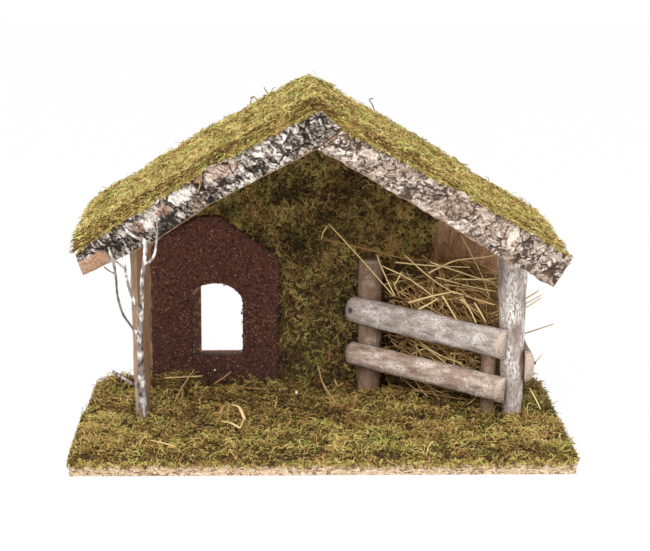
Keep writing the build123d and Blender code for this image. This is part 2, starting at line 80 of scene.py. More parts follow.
print("soffit at the ridge:", round(SOFFIT_RIDGE_Z, 1), "mm")

# %% [markdown]
# ## Random fields
# Grown things are irregular, but neighbours resemble each other. Blender's noise textures could
# move points about, but mats and sprigs have to follow the same bumps, so the field is worked out
# here. A lattice of random values is blended smoothly between its points. The values are hashed
# from the coordinates, so every run gives the same bumps.

# %% Lattice noise
HASH_PRIMES = 7919, 1274126177, 668265263
HASH_START, HASH_MASK, HASH_LEVELS = 12345, 0x7FFFFFFF, 65536


def lumps(points, cell, seed):
    """Smooth values from -1 to 1 at points in mm, changing over about one cell."""
    spot = np.asarray(points, float) / np.asarray(cell, float)
    base = np.floor(spot).astype(np.int64)
    share = spot - base
    share = share * share * (3 - 2 * share)
    total = np.zeros(spot.shape[:-1])
    for corner in itertools.product((0, 1), repeat=spot.shape[-1]):
        key = np.full(spot.shape[:-1], seed * HASH_PRIMES[0] + HASH_START, dtype=np.int64)
        weight = np.ones(spot.shape[:-1])
        for axis, step in enumerate(corner):
            key = (key ^ (base[..., axis] + step)) * HASH_PRIMES[1] & HASH_MASK
            key = (key ^ (key >> 15)) * HASH_PRIMES[2] & HASH_MASK
            weight = weight * (share[..., axis] if step else 1 - share[..., axis])
        total += weight * ((key >> 7) % HASH_LEVELS / (HASH_LEVELS / 2 - 0.5) - 1)
    return total


print("noise sample:", np.round(lumps([[1.0, 2.0, 3.0]], 2.5, 1), 3))

# %% [markdown]
# ## Cells around seeds
# Moss grows in tufts and bark breaks into flakes. In both, each spot belongs to the nearest of many
# scattered middles. A Voronoi texture draws such cells, but only in a material. Here the mesh needs
# them too, so the nearest middle is looked up for each point, in blocks that fit in memory.

# %% Nearest seeds and tufts
BLOCK = 3000
TUFT_TINT, TUFT_DRY, TUFT_REACH = 0.15, 0.45, 0.8


def join(*coordinates):
    """Points from coordinates, which are spread to one shape first."""
    return np.stack(np.broadcast_arrays(*coordinates), axis=-1)


def nearest_cells(points, seeds):
    """The nearest seed of each point, and how near its border with the next one is."""
    nearest = np.empty(len(points), int)
    gap = np.empty(len(points))
    for start in range(0, len(points), BLOCK):
        block = slice(start, start + BLOCK)
        reach = np.linalg.norm(points[block, None] - seeds[None], axis=2)
        two = np.argpartition(reach, 1, axis=1)[:, :2]
        near = np.take_along_axis(reach, two, axis=1)
        nearest[block] = two[np.arange(len(two)), near.argmin(axis=1)]
        gap[block] = np.abs(near[:, 0] - near[:, 1])
    return nearest, gap


class Tufts:
    """Scattered moss tufts on a flat field, each with its own tint and dryness."""

    def __init__(self, seed, low, high, pitch):
        rng = np.random.default_rng(seed)
        low, high = np.array(low, float), np.array(high, float)
        count = int(np.prod((high - low) / pitch))
        self.pitch = pitch
        self.centres = low + (high - low) * rng.random((count, 2))
        self.tint = TUFT_TINT * rng.normal(size=count)
        self.dry = np.clip(TUFT_DRY * rng.normal(size=count), -1, 1)

    def around(self, first, second):
        """The tuft of each point, the way from its middle and its cushion's share of height."""
        flat = join(np.ravel(first), np.ravel(second))
        own = nearest_cells(flat, self.centres)[0]
        away = flat - self.centres[own]
        far = np.clip(np.linalg.norm(away, axis=1) / (TUFT_REACH * self.pitch), 0, 1)
        return own.reshape(np.shape(first)), away, (1 - far ** 2).reshape(np.shape(first))


print("tufts on 50 by 50 mm:", len(Tufts(1, (0, 0), (50, 50), 9.0).centres))

# %% [markdown]
# ## From points to a piece
# Moss, bark and hay have thousands of small parts. They could be made with edit-mode operators or
# modifiers, but arrays of points and faces are far quicker and give the same mesh on every run.
# Two functions turn such arrays into a mesh, hand it the marks that its finish reads (such as a
# strand's own tint) and tie it to the frame.

# %% Piece maker
def fill_mesh(mesh, points, faces, smooth):
    """Fill a mesh with points in mm and with groups of faces of equal corners."""
    points = np.asarray(points, np.float32).reshape(-1, 3) * np.float32(MM)
    corners = np.concatenate([group.ravel() for group in faces]).astype(np.int32)
    sizes = np.concatenate([np.full(len(group), group.shape[1]) for group in faces])
    mesh.vertices.add(len(points))
    mesh.vertices.foreach_set("co", points.ravel())
    mesh.loops.add(len(corners))
    mesh.loops.foreach_set("vertex_index", corners)
    mesh.polygons.add(len(sizes))
    mesh.polygons.foreach_set("loop_start", (np.cumsum(sizes) - sizes).astype(np.int32))
    mesh.update(calc_edges=True)
    mesh.polygons.foreach_set("use_smooth", np.full(len(sizes), smooth))


def make_piece(name, points, faces, materials, replaced=None, slots=None, marks=None,
               uvs=None, smooth=True):
    """Build a piece with its materials and marks, and ride it on the frame."""
    mesh = bpy.data.meshes.new(name)
    fill_mesh(mesh, points, faces, smooth)
    for key, values in (marks or {}).items():
        made = mesh.attributes.new(key, "FLOAT", "POINT")
        made.data.foreach_set("value", np.asarray(values, np.float32).ravel())
    if uvs is not None:
        layer = mesh.uv_layers.new(name="OFBake")
        layer.data.foreach_set("uv", uvs.astype(np.float32).ravel())
    for material in materials:
        mesh.materials.append(material)
    if slots is not None:
        mesh.polygons.foreach_set("material_index", np.asarray(slots, np.int32))
    mesh.update()
    piece = bpy.data.objects.new(name, mesh)
    bpy.context.collection.objects.link(piece)
    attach(piece, "root")
    if replaced:
        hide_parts(replaced)
    print(name, len(mesh.vertices), "points", len(mesh.polygons), "faces")
    return piece


print("each piece prints its points and faces when it is made")

# %% [markdown]
# ## Threads
# Moss stems, hay stalks and twig limbs are one thing to a mesh: a curved path with a tapering skin.
# A curve object with a bevel would do for one, but not for thousands. Paths of a kind have the same
# number of rings, so one set of array operations skins them all and closes both ends. Each is laid
# out in its own cell for baking.

# %% Baking cells of threads
CELL_MARGIN, END_SIZE = 0.05, 0.04


def thread_cells(count, rings, sides):
    """Baking layout: a cell of a square grid for each thread, sides unrolled, ends beside them."""
    grid = math.ceil(math.sqrt(count))
    order = np.arange(count)
    origin = join(order % grid, order // grid).astype(float)
    u = 2 * CELL_MARGIN + (1 - 4 * CELL_MARGIN) * np.arange(rings) / (rings - 1)
    v = CELL_MARGIN + (1 - 2 * CELL_MARGIN) * np.arange(sides + 1) / sides
    u0, v0 = np.meshgrid(u[:-1], v[:-1], indexing="ij")
    u1, v1 = np.meshgrid(u[1:], v[1:], indexing="ij")
    local = join(u0, v0, u0, v1, u1, v1, u1, v0)
    turn = np.arange(sides) * 2 * math.pi / sides
    ends = END_SIZE * join(np.cos(turn), np.sin(turn))
    parts = [local.reshape(-1, 2), ends + (CELL_MARGIN, 0.5), ends + (1 - CELL_MARGIN, 0.5)]
    return np.concatenate([(origin[:, None] + part).reshape(-1, 2) for part in parts]) / grid


print("baking corners of one thread:", len(thread_cells(1, 4, 3)))

# %% Skin many paths at once
TINY, STEEP = 1e-9, 0.8
SIDEWAYS = np.array([1.0, 0.0, 0.0])


def unit(vectors, spare=0.0):
    """Vectors of length 1. A tiny spare length keeps a zero vector from dividing by zero."""
    return vectors / (np.linalg.norm(vectors, axis=-1, keepdims=True) + spare)


def threads(paths, radii, sides=3, flat=1.0):
    """Closed tubes around paths (count, rings, 3), flattened if asked: points, faces and cells."""
    count, rings = radii.shape
    along = unit(np.gradient(paths, axis=1), TINY)
    climb = np.abs(along.mean(axis=1, keepdims=True))[..., 2:]
    helper = np.where(climb < STEEP, UP, SIDEWAYS)
    side = unit(np.cross(along, np.broadcast_to(helper, along.shape)), TINY)
    lift = np.cross(along, side) * flat
    turn = np.arange(sides) * 2 * math.pi / sides
    spoke = np.cos(turn)[:, None] * side[:, :, None] + np.sin(turn)[:, None] * lift[:, :, None]
    points = paths[:, :, None] + radii[..., None, None] * spoke
    index = np.arange(count * rings * sides).reshape(count, rings, sides)
    after = np.roll(index, -1, axis=2)
    quads = join(index[:, :-1], after[:, :-1], after[:, 1:], index[:, 1:])
    faces = [quads.reshape(-1, 4), index[:, 0, ::-1], index[:, -1]]
    return points.reshape(-1, 3), faces, thread_cells(count, rings, sides)


upright = UP * np.arange(4)[None, :, None]
print("points of a thread:", len(threads(upright, np.ones((1, 4)))[0]))

# %% [markdown]
# ## Nodes for the finishes
# Every finish is built from nodes, so that it can be baked, and changed later in the editor. Wiring
# them in a script gets long, so a few helpers keep it readable: one places a node and fills its
# sockets with values or links, others mix, add or stretch. Colours are written as the eye sees
# them, from 0 to 255, and turned into the linear values that Blender works with.

# %% Colours, sockets and mixing
def tone(red, green, blue):
    """A linear colour from the values seen on a screen."""
    seen = np.array([red, green, blue]) / 255
    linear = np.where(seen <= 0.04045, seen / 12.92, ((seen + 0.055) / 1.055) ** 2.4)
    return (*[float(part) for part in linear], 1.0)


def feed(tree, socket, value):
    """Link a socket's value to a node, or set it."""
    if isinstance(value, bpy.types.NodeSocket):
        tree.links.new(value, socket)
    else:
        socket.default_value = value


def place(tree, kind, inputs=None, **settings):
    """Add a node with its settings and inputs."""
    made = tree.nodes.new(kind)
    for key, value in settings.items():
        setattr(made, key, value)
    for key, value in (inputs or {}).items():
        feed(tree, made.inputs[key], value)
    return made


def mix(tree, share, below, above, mode="MIX"):
    """Mix two colours by a share."""
    inputs = {0: share, 6: below, 7: above}
    return place(tree, "ShaderNodeMix", inputs, data_type="RGBA", blend_type=mode).outputs[2]


def sums(tree, operation, first, second):
    """One sum of two values."""
    return place(tree, "ShaderNodeMath", {0: first, 1: second}, operation=operation).outputs[0]


def spread(tree, value, low, high, to_low=0.0, to_high=1.0):
    """Stretch a value so that low and high become the new ends, and hold it there."""
    inputs = {"Value": value, "From Min": low, "From Max": high, "To Min": to_low, "To Max": to_high}
    return place(tree, "ShaderNodeMapRange", inputs).outputs[0]


print("middle grey as a linear colour:", np.round(tone(128, 128, 128), 3))

# %% Marks, places and noise
def mark(tree, name):
    """A mark that the mesh carries on its points."""
    return place(tree, "ShaderNodeAttribute", attribute_name=name).outputs["Fac"]


def own_place(tree):
    """Where a point lies in its own piece, in metres."""
    return place(tree, "ShaderNodeTexCoord").outputs["Object"]


def own_height(tree):
    """How high a point lies in its own piece, in metres."""
    return place(tree, "ShaderNodeSeparateXYZ", {"Vector": own_place(tree)}).outputs["Z"]


def vector_sums(tree, operation, first, second):
    """One sum of two vectors."""
    inputs = {0: first, 1: second}
    return place(tree, "ShaderNodeVectorMath", inputs, operation=operation).outputs[0]


def grain_noise(tree, scale, detail=4.0, rough=0.55, stretch=None, distortion=0.0):
    """Noise in the piece's own metres, stretched if asked."""
    spot = own_place(tree)
    if stretch is not None:
        spot = vector_sums(tree, "MULTIPLY", spot, stretch)
    inputs = {"Vector": spot, "Scale": scale, "Detail": detail, "Roughness": rough,
              "Distortion": distortion}
    return place(tree, "ShaderNodeTexNoise", inputs).outputs["Fac"]


print("noise of scale 1000 has bumps of about", 1 / 1000 / MM, "mm")

# %% Groups and materials
SOCKETS = {"colour": "NodeSocketColor", "value": "NodeSocketFloat", "vector": "NodeSocketVector"}


def start_group(name, inputs, outputs):
    """A shader node group with named sockets. Gives the group, its inputs and its outputs."""
    group = bpy.data.node_groups.new(name, "ShaderNodeTree")
    for label, kind, start in inputs:
        made = group.interface.new_socket(name=label, in_out="INPUT", socket_type=SOCKETS[kind])
        made.default_value = start
    for label, kind in outputs:
        group.interface.new_socket(name=label, in_out="OUTPUT", socket_type=SOCKETS[kind])
    given, out = group.nodes.new("NodeGroupInput"), group.nodes.new("NodeGroupOutput")
    return group, given.outputs, out.inputs


def use_group(tree, group, **inputs):
    """Place a group in a material, with its own values."""
    made = tree.nodes.new("ShaderNodeGroup")
    made.node_tree = group
    for key, value in inputs.items():
        feed(tree, made.inputs[key.replace("_", " ").capitalize()], value)
    return made.outputs


def group_colour(group, **values):
    """A colour maker that only places one group, with its own values."""
    def maker(tree):
        made = use_group(tree, group, **values)
        return {"colour": made[0], made[1].name.lower(): made[1]}
    return maker


def finish_material(name, colour_maker, roughness=0.8, bump=0.0, reach=0.001, metallic=0.0):
    """A material from a function that adds nodes: a colour, and perhaps a height and roughness."""
    material = bpy.data.materials.new(name)
    material.use_nodes = True
    tree = material.node_tree
    shader = tree.nodes["Principled BSDF"]
    made = colour_maker(tree)
    feed(tree, shader.inputs["Base Color"], made["colour"])
    feed(tree, shader.inputs["Roughness"], made.get("roughness", roughness))
    shader.inputs["Metallic"].default_value = metallic
    if "height" in made:
        inputs = {"Strength": bump, "Distance": reach, "Height": made["height"]}
        feed(tree, shader.inputs["Normal"], place(tree, "ShaderNodeBump", inputs).outputs[0])
    return material


print("a group's sockets can be:", ", ".join(SOCKETS))

# %% [markdown]
# ## Shared effects
# Four effects return on several pieces. Each could be copied from material to material, but a group
# is built once and takes its own values wherever it is placed. Fibre tint colours a strand by its
# own tint, lighter at its tip, with patches that drift over the mat. Wood grain draws streaks.
# Speckle scatters soft dots, for chips, stain, lichen and whitewash. Bark flakes turns the marks of
# the bark mesh into white, grey, brown and black.

# %% Fibre tint
def build_fibre_tint():
    """Shade, body and light by a strand's level, then drier or fresher by its dry mark."""
    inputs = [("Shade", "colour", tone(60, 50, 20)), ("Body", "colour", tone(130, 115, 45))]
    inputs += [("Light", "colour", tone(200, 185, 95)), ("Dry", "colour", tone(212, 182, 178))]
    inputs += [("Fresh", "colour", tone(206, 238, 190)), ("Patch scale", "value", 60.0)]
    inputs += [("Patch share", "value", 0.5), ("Tip share", "value", 0.3)]
    group, given, out = start_group("Fibre tint", inputs, [("Color", "colour"), ("Roughness", "value")])
    patch = grain_noise(group, given["Patch scale"], detail=3.0)
    drift = sums(group, "MULTIPLY", sums(group, "SUBTRACT", patch, 0.5), given["Patch share"])
    tip = sums(group, "MULTIPLY", mark(group, "tip"), given["Tip share"])
    level = sums(group, "ADD", sums(group, "ADD", mark(group, "tint"), drift), tip)
    low = mix(group, spread(group, level, 0.05, 0.55), given["Shade"], given["Body"])
    full = mix(group, spread(group, level, 0.5, 1.1), low, given["Light"])
    dried = mix(group, spread(group, mark(group, "dry"), 0.0, 1.0), full, given["Dry"], "MULTIPLY")
    fresh = mix(group, spread(group, mark(group, "dry"), 0.0, -1.0), dried, given["Fresh"], "MULTIPLY")
    feed(group, out["Color"], fresh)
    feed(group, out["Roughness"], spread(group, level, 0.0, 1.0, 0.95, 0.7))
    return group


FIBRE_TINT = build_fibre_tint()
print("group:", FIBRE_TINT.name)

# %% Wood grain
def build_wood_grain():
    """Streaks of two browns, stretched along the grain, and their height."""
    inputs = [("Pale", "colour", tone(210, 180, 140)), ("Dark", "colour", tone(140, 105, 75))]
    inputs += [("Stretch", "vector", (300.0, 300.0, 14.0)), ("Spread", "value", 0.5)]
    group, given, out = start_group("Wood grain", inputs, [("Color", "colour"), ("Height", "value")])
    streak = grain_noise(group, 1.0, detail=6.0, rough=0.6, stretch=given["Stretch"], distortion=0.4)
    fine = grain_noise(group, 3.5, detail=3.0, rough=0.5, stretch=given["Stretch"])
    line = sums(group, "ADD", sums(group, "MULTIPLY", streak, 0.7), sums(group, "MULTIPLY", fine, 0.3))
    low = sums(group, "SUBTRACT", 0.5, sums(group, "MULTIPLY", given["Spread"], 0.5))
    high = sums(group, "ADD", 0.5, sums(group, "MULTIPLY", given["Spread"], 0.5))
    feed(group, out["Color"], mix(group, spread(group, line, low, high), given["Dark"], given["Pale"]))
    feed(group, out["Height"], line)
    return group


WOOD_GRAIN = build_wood_grain()
print("group:", WOOD_GRAIN.name)

# %% Speckle
def build_speckle():
    """Soft dots of one colour on another, and their mask."""
    inputs = [("Ground", "colour", tone(170, 150, 130)), ("Speck", "colour", tone(235, 230, 225))]
    inputs += [("Scale", "value", 700.0), ("Threshold", "value", 0.55), ("Softness", "value", 0.1)]
    inputs += [("Stretch", "vector", (1.0, 1.0, 1.0))]
    group, given, out = start_group("Speckle", inputs, [("Color", "colour"), ("Mask", "value")])
    dots = grain_noise(group, given["Scale"], detail=2.0, rough=0.6, stretch=given["Stretch"])
    high = sums(group, "ADD", given["Threshold"], given["Softness"])
    mask = spread(group, dots, given["Threshold"], high)
    feed(group, out["Color"], mix(group, mask, given["Ground"], given["Speck"]))
    feed(group, out["Mask"], mask)
    return group


SPECKLE = build_speckle()
print("group:", SPECKLE.name)

# %% Bark flakes
def build_bark_flakes():
    """Fissure, grey and white by a flake's level, brown where bare, and dark cracks on top."""
    inputs = [("Fissure", "colour", tone(35, 30, 32)), ("Inner", "colour", tone(190, 130, 95))]
    inputs += [("Grey", "colour", tone(140, 130, 128)), ("White", "colour", tone(235, 232, 230))]
    outputs = [("Color", "colour"), ("Height", "value")]
    group, given, out = start_group("Bark flakes", inputs, outputs)
    ragged = grain_noise(group, 820.0, detail=4.0, rough=0.78)
    wide = grain_noise(group, 380.0, detail=3.0, rough=0.6)
    drift = sums(group, "MULTIPLY", sums(group, "SUBTRACT", ragged, 0.5), 1.5)
    slow = sums(group, "MULTIPLY", sums(group, "SUBTRACT", wide, 0.5), 0.5)
    drift = sums(group, "ADD", drift, slow)
    level = sums(group, "ADD", mark(group, "flake"), drift)
    plain = mix(group, spread(group, level, 0.12, 0.38), given["Fissure"], given["Grey"])
    plain = mix(group, spread(group, level, 0.46, 0.78), plain, given["White"])
    deep = mix(group, 0.65, given["Inner"], given["Fissure"])
    inner = mix(group, spread(group, level, 0.1, 0.75), deep, given["Inner"])
    bare = sums(group, "ADD", mark(group, "bare"), drift)
    warm = mix(group, spread(group, bare, 0.35, 0.75), plain, inner)
    crack = sums(group, "ADD", mark(group, "crack"), sums(group, "MULTIPLY", drift, 0.5))
    full = mix(group, spread(group, crack, 0.35, 0.8), warm, given["Fissure"])
    feed(group, out["Color"], full)
    feed(group, out["Height"], sums(group, "ADD", ragged, sums(group, "MULTIPLY", level, 0.6)))
    return group


BARK_FLAKES = build_bark_flakes()
print("group:", BARK_FLAKES.name)

# %% [markdown]
# ## Camera
# The photograph was taken a little from above and slightly left of the middle, with a long lens.
# A camera could be aimed at the object by a constraint, but then it couldn't be rolled. Its place
# and turns were fitted to the corners of base, roof and posts, and are set as one matrix.

# %% Camera
CAMERA_SPOT = (-34.5, -1196.9, 401.0)
CAMERA_PITCH, CAMERA_YAW, CAMERA_ROLL = 0.23608, 0.03106, 0.0060


def aim_camera(pitch, yaw, roll):
    """A camera that looks along its yaw and pitch, rolled a little about its own axis."""
    ahead = Vector((math.sin(yaw) * math.cos(pitch), math.cos(yaw) * math.cos(pitch), -math.sin(pitch)))
    right = Vector((math.cos(yaw), -math.sin(yaw), 0))
    upward = right.cross(ahead)
    side = math.cos(roll) * right + math.sin(roll) * upward
    top = math.cos(roll) * upward - math.sin(roll) * right
    camera = bpy.data.objects.new("studio_camera", bpy.data.cameras.new("studio_camera"))
    camera.data.lens, camera.data.sensor_width = 100.0, 36.0
    camera.data.clip_start, camera.data.clip_end = 0.05, 50.0
    rows = [(side[axis], top[axis], -ahead[axis], CAMERA_SPOT[axis] * MM) for axis in range(3)]
    camera.matrix_world = Matrix((*rows, (0, 0, 0, 1)))
    bpy.context.collection.objects.link(camera)
    bpy.context.scene.camera = camera
    return camera


studio_camera = aim_camera(CAMERA_PITCH, CAMERA_YAW, CAMERA_ROLL)
print("camera at", [round(part, 3) for part in studio_camera.matrix_world.translation])

# %% [markdown]
# ## Light and stage
# The photograph was taken in a white studio. A picture of a studio could light the scene, but two
# lamps and an even grey sky are enough: a large soft lamp above and in front, and a weaker one from
# the right. The floor is nearly white. Part of what the camera sees of it shines by itself, so the
# background is white while the object's soft shadow stays.

# %% Lamps
LAMP_AIM = (0.0, 0.0, 0.1)


def add_lamp(name, spot, size, power):
    """A square soft lamp that points at the middle of the object."""
    lamp = bpy.data.objects.new(name, bpy.data.lights.new(name, "AREA"))
    lamp.data.size, lamp.data.energy = size, power
    lamp.location = spot
    lamp.rotation_euler = (Vector(LAMP_AIM) - Vector(spot)).to_track_quat("-Z", "Y").to_euler()
    bpy.context.collection.objects.link(lamp)
    print(name, power, "W from", spot)


add_lamp("key_lamp", (-0.45, -1.15, 1.35), size=1.1, power=26.0)
add_lamp("fill_lamp", (1.1, -0.9, 0.8), size=0.9, power=7.0)


# %% Sky
SKY_LIGHT = 0.62


def camera_sees(tree):
    """1 for what the camera, a mirror or glass sees, and 0 for light that falls on things."""
    path = place(tree, "ShaderNodeLightPath").outputs
    glossy = sums(tree, "MAXIMUM", path["Is Glossy Ray"], path["Is Transmission Ray"])
    return sums(tree, "MAXIMUM", path["Is Camera Ray"], glossy)


def build_sky():
    """White where it is seen, and an even grey where it lights."""
    world = bpy.data.worlds.new("studio_sky")
    world.use_nodes = True
    tree = world.node_tree
    background = tree.nodes["Background"]
    background.inputs["Color"].default_value = (1, 1, 1, 1)
    strength = spread(tree, camera_sees(tree), 0.0, 1.0, SKY_LIGHT, 1.0)
    feed(tree, background.inputs["Strength"], strength)
    bpy.context.scene.world = world


build_sky()
print("sky:", bpy.context.scene.world.name)

# %% Floor
FLOOR_HALF, FLOOR_GLOW = 3.0, 0.975


def floor_material():
    """Pale paper that mostly glows white where the camera sees it."""
    material = bpy.data.materials.new("studio_floor")
    material.use_nodes = True
    tree = material.node_tree
    paper = tree.nodes["Principled BSDF"]
    paper.inputs["Roughness"].default_value = 0.9
    cloud = mix(tree, grain_noise(tree, 2.0), tone(243, 243, 243), tone(248, 248, 248))
    feed(tree, paper.inputs["Base Color"], cloud)
    glow = place(tree, "ShaderNodeEmission", {"Color": (1, 1, 1, 1), "Strength": 1.0}).outputs[0]
    share = sums(tree, "MULTIPLY", camera_sees(tree), FLOOR_GLOW)
    blend = place(tree, "ShaderNodeMixShader", {0: share, 1: paper.outputs[0], 2: glow})
    feed(tree, tree.nodes["Material Output"].inputs["Surface"], blend.outputs[0])
    return material


def build_floor():
    """A wide square floor under the object."""
    turns = ((-1, -1), (1, -1), (1, 1), (-1, 1))
    mesh = bpy.data.meshes.new("studio_floor")
    mesh.from_pydata([(FLOOR_HALF * x, FLOOR_HALF * y, 0) for x, y in turns], [], [(0, 1, 2, 3)])
    floor = bpy.data.objects.new("studio_floor", mesh)
    bpy.context.collection.objects.link(floor)
    mesh.materials.append(floor_material())


build_floor()
bpy.context.scene.view_settings.view_transform = "Standard"
print("floor of", 2 * FLOOR_HALF, "m")

# %% [markdown]
# ## Boards and nails
# The base is raw chipboard: pale, with short chips in many browns. Roof boards and back wall are
# thin stained wood with streaks along the grain. They are plain boards on the real thing as well,
# so new meshes would add nothing: the CAD meshes stay, and the groups give them their finishes.

# %% Chipboard and nails
def chipboard_colour(tree):
    """Pale chips, brown chips and a few dark ones, one over the other."""
    pale = use_group(tree, SPECKLE, ground=tone(198, 172, 139), speck=tone(226, 206, 179),
                     scale=520.0, threshold=0.5, softness=0.12, stretch=(0.6, 1.0, 1.6))
    brown = use_group(tree, SPECKLE, ground=pale["Color"], speck=tone(140, 108, 74),
                      scale=640.0, threshold=0.53, softness=0.08, stretch=(0.5, 0.9, 1.5))
    dark = use_group(tree, SPECKLE, ground=brown["Color"], speck=tone(86, 64, 44),
                     scale=900.0, threshold=0.58, softness=0.06)
    return {"colour": dark["Color"], "height": brown["Mask"]}


def nail_colour(tree):
    """Plain steel wire with duller brown spots."""
    made = use_group(tree, SPECKLE, ground=tone(120, 115, 110), speck=tone(80, 62, 50),
                     scale=1500.0, threshold=0.48)
    return {"colour": made["Color"], "roughness": spread(tree, made["Mask"], 0.0, 1.0, 0.35, 0.75)}


chipboard = finish_material("chipboard", chipboard_colour, 0.9, 0.35, 0.0006)
nail_steel = finish_material("nail_steel", nail_colour, 0.5, metallic=0.85)
print("finishes:", chipboard.name, nail_steel.name)

# %% Roof boards and back wall
HOLE_MIDDLE = (-0.0698, 0.074, 0.0592)
HOLE_SHRINK = (42.0, 125.0, 29.0)


def wall_colour(tree):
    """Mottled brown stain, and a darker red-brown with pale specks in the window hole."""
    made = use_group(tree, WOOD_GRAIN, pale=tone(222, 176, 132), dark=tone(134, 95, 66),
                     stretch=(300.0, 300.0, 60.0), spread=0.4)
    spots = use_group(tree, SPECKLE, ground=made["Color"], speck=tone(150, 112, 80),
                      scale=420.0, threshold=0.52, softness=0.15)
    stain = use_group(tree, SPECKLE, ground=tone(92, 62, 48), speck=tone(150, 112, 86),
                      scale=330.0, threshold=0.5, softness=0.1)
    away = vector_sums(tree, "SUBTRACT", own_place(tree), HOLE_MIDDLE)
    away = vector_sums(tree, "MULTIPLY", away, HOLE_SHRINK)
    reach = place(tree, "ShaderNodeVectorMath", {0: away}, operation="LENGTH").outputs["Value"]
    in_hole = spread(tree, reach, 1.1, 1.0)
    return {"colour": mix(tree, in_hole, spots["Color"], stain["Color"]), "height": made["Height"]}


roof_grain = group_colour(WOOD_GRAIN, pale=tone(176, 142, 106), dark=tone(112, 82, 58),
                          stretch=(30.0, 420.0, 30.0), spread=0.5)
roof_board = finish_material("roof_board", roof_grain, 0.85, 0.3, 0.0005)
wall_board = finish_material("wall_board", wall_colour, 0.85, 0.3, 0.0005)
print("finishes:", roof_board.name, wall_board.name)

# %% Finish the CAD meshes
KEPT_FINISHES = {
    "base_board": chipboard, "left_roof_board": roof_board, "right_roof_board": roof_board,
    "back_wall": wall_board, "base_nails": nail_steel, "roof_nails": nail_steel,
    "barge_nails": nail_steel, "rail_nails": nail_steel,
}
for node_name, material in KEPT_FINISHES.items():
    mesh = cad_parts[node_name].data
    mesh.materials.clear()
    mesh.materials.append(material)
print("boards finished:", ", ".join(KEPT_FINISHES))

# %% [markdown]
# ## Mats under the moss
# Moss is two things at once: a lumpy cushion that fills the gaps, and fine sprigs on top that give
# it its fuzzy surface. A displaced plane would do for the cushion, but it would be open below and
# couldn't leave out the places of posts and walls. So the cushion is a closed slab over a grid of
# cells: cells where something stands are left out, and each edge of the slab gets a side wall.

# %% Slab over a grid of cells
def slab(top, bottom, keep):
    """A closed slab between two grids of points (rows, columns, 3), over the cells to keep."""
    rows, columns = top.shape[:2]
    layer = rows * columns
    index = np.arange(layer).reshape(rows, columns)
    cells = join(index[:-1, :-1], index[:-1, 1:], index[1:, 1:], index[1:, :-1])
    faces = [cells[keep], (cells + layer)[keep][:, ::-1]]
    framed = np.pad(keep, 1)
    beside = (framed[:-2, 1:-1], framed[1:-1, 2:], framed[2:, 1:-1], framed[1:-1, :-2])
    for corner, neighbour in enumerate(beside):
        edge = cells[keep & ~neighbour]
        first, second = edge[:, corner], edge[:, (corner + 1) % 4]
        faces.append(join(second, first, first + layer, second + layer))
    used = np.unique(np.concatenate([group.ravel() for group in faces]))
    renumber = np.zeros(2 * layer, dtype=np.int64)
    renumber[used] = np.arange(len(used))
    points = np.concatenate([top.reshape(-1, 3), bottom.reshape(-1, 3)])[used]
    return points, [renumber[group] for group in faces]


def mat_marks(rng, points, patch):
    """Marks of a moss mat: dark dull tints that drift in patches, mostly dry. The dark tints are
    painted shade for the gaps between the sprigs.
    """
    tint = 0.12 + 0.12 * lumps(points, patch, 5) + 0.12 * rng.normal(size=len(points))
    dry = 0.4 + 0.4 * lumps(points, patch, 6)
    return {"tint": np.clip(tint, 0, 1), "tip": np.zeros(len(points)), "dry": dry}


one_cell = np.zeros((2, 2, 3))
print("points of a slab of one cell:", len(slab(one_cell, one_cell, np.ones((1, 1), bool))[0]))

# %% [markdown]
# ## Moss sprigs
# A sprig of moss is a thin curved stem with tiny pointed leaves on both sides. Hair or instances
# could cover a mat with it, but all sprigs would be alike, and the export takes meshes. So each is
# drawn: a thread that turns to one side and sinks towards its tip, with leaves that are closed
# flakes of four triangles. Each leaf has its own tint, so the mat looks feathery and never even.

# %% Curved stems
STEM_RINGS = 5
LEAST_TURN, MOST_TURN = 0.05, 2.6


def stem_paths(roots, headings, normals, lengths, rise, curl):
    """Arcs that leave their roots along the headings, turn by their curl and rise and sink."""
    share = np.linspace(0, 1, STEM_RINGS)[None, :, None]
    turn = np.where(np.abs(curl) < LEAST_TURN, LEAST_TURN, np.clip(curl, -MOST_TURN, MOST_TURN))
    turn = turn[:, None, None]
    ahead = headings[:, None] * np.sin(turn * share) / turn
    aside = np.cross(normals, headings)[:, None] * (1 - np.cos(turn * share)) / turn
    climb = normals[:, None] * rise[:, None, None] * share * (1.0 - 0.7 * share)
    return roots[:, None] + lengths[:, None, None] * (ahead + aside + climb)


print("rings of a stem:", STEM_RINGS)

# %% Leaves
LEAVES = 10
LEAF_TIP = 3
LEAF_FACES = np.array([(0, 2, LEAF_TIP), (2, 1, LEAF_TIP), (1, 0, LEAF_TIP), (0, 1, 2)])


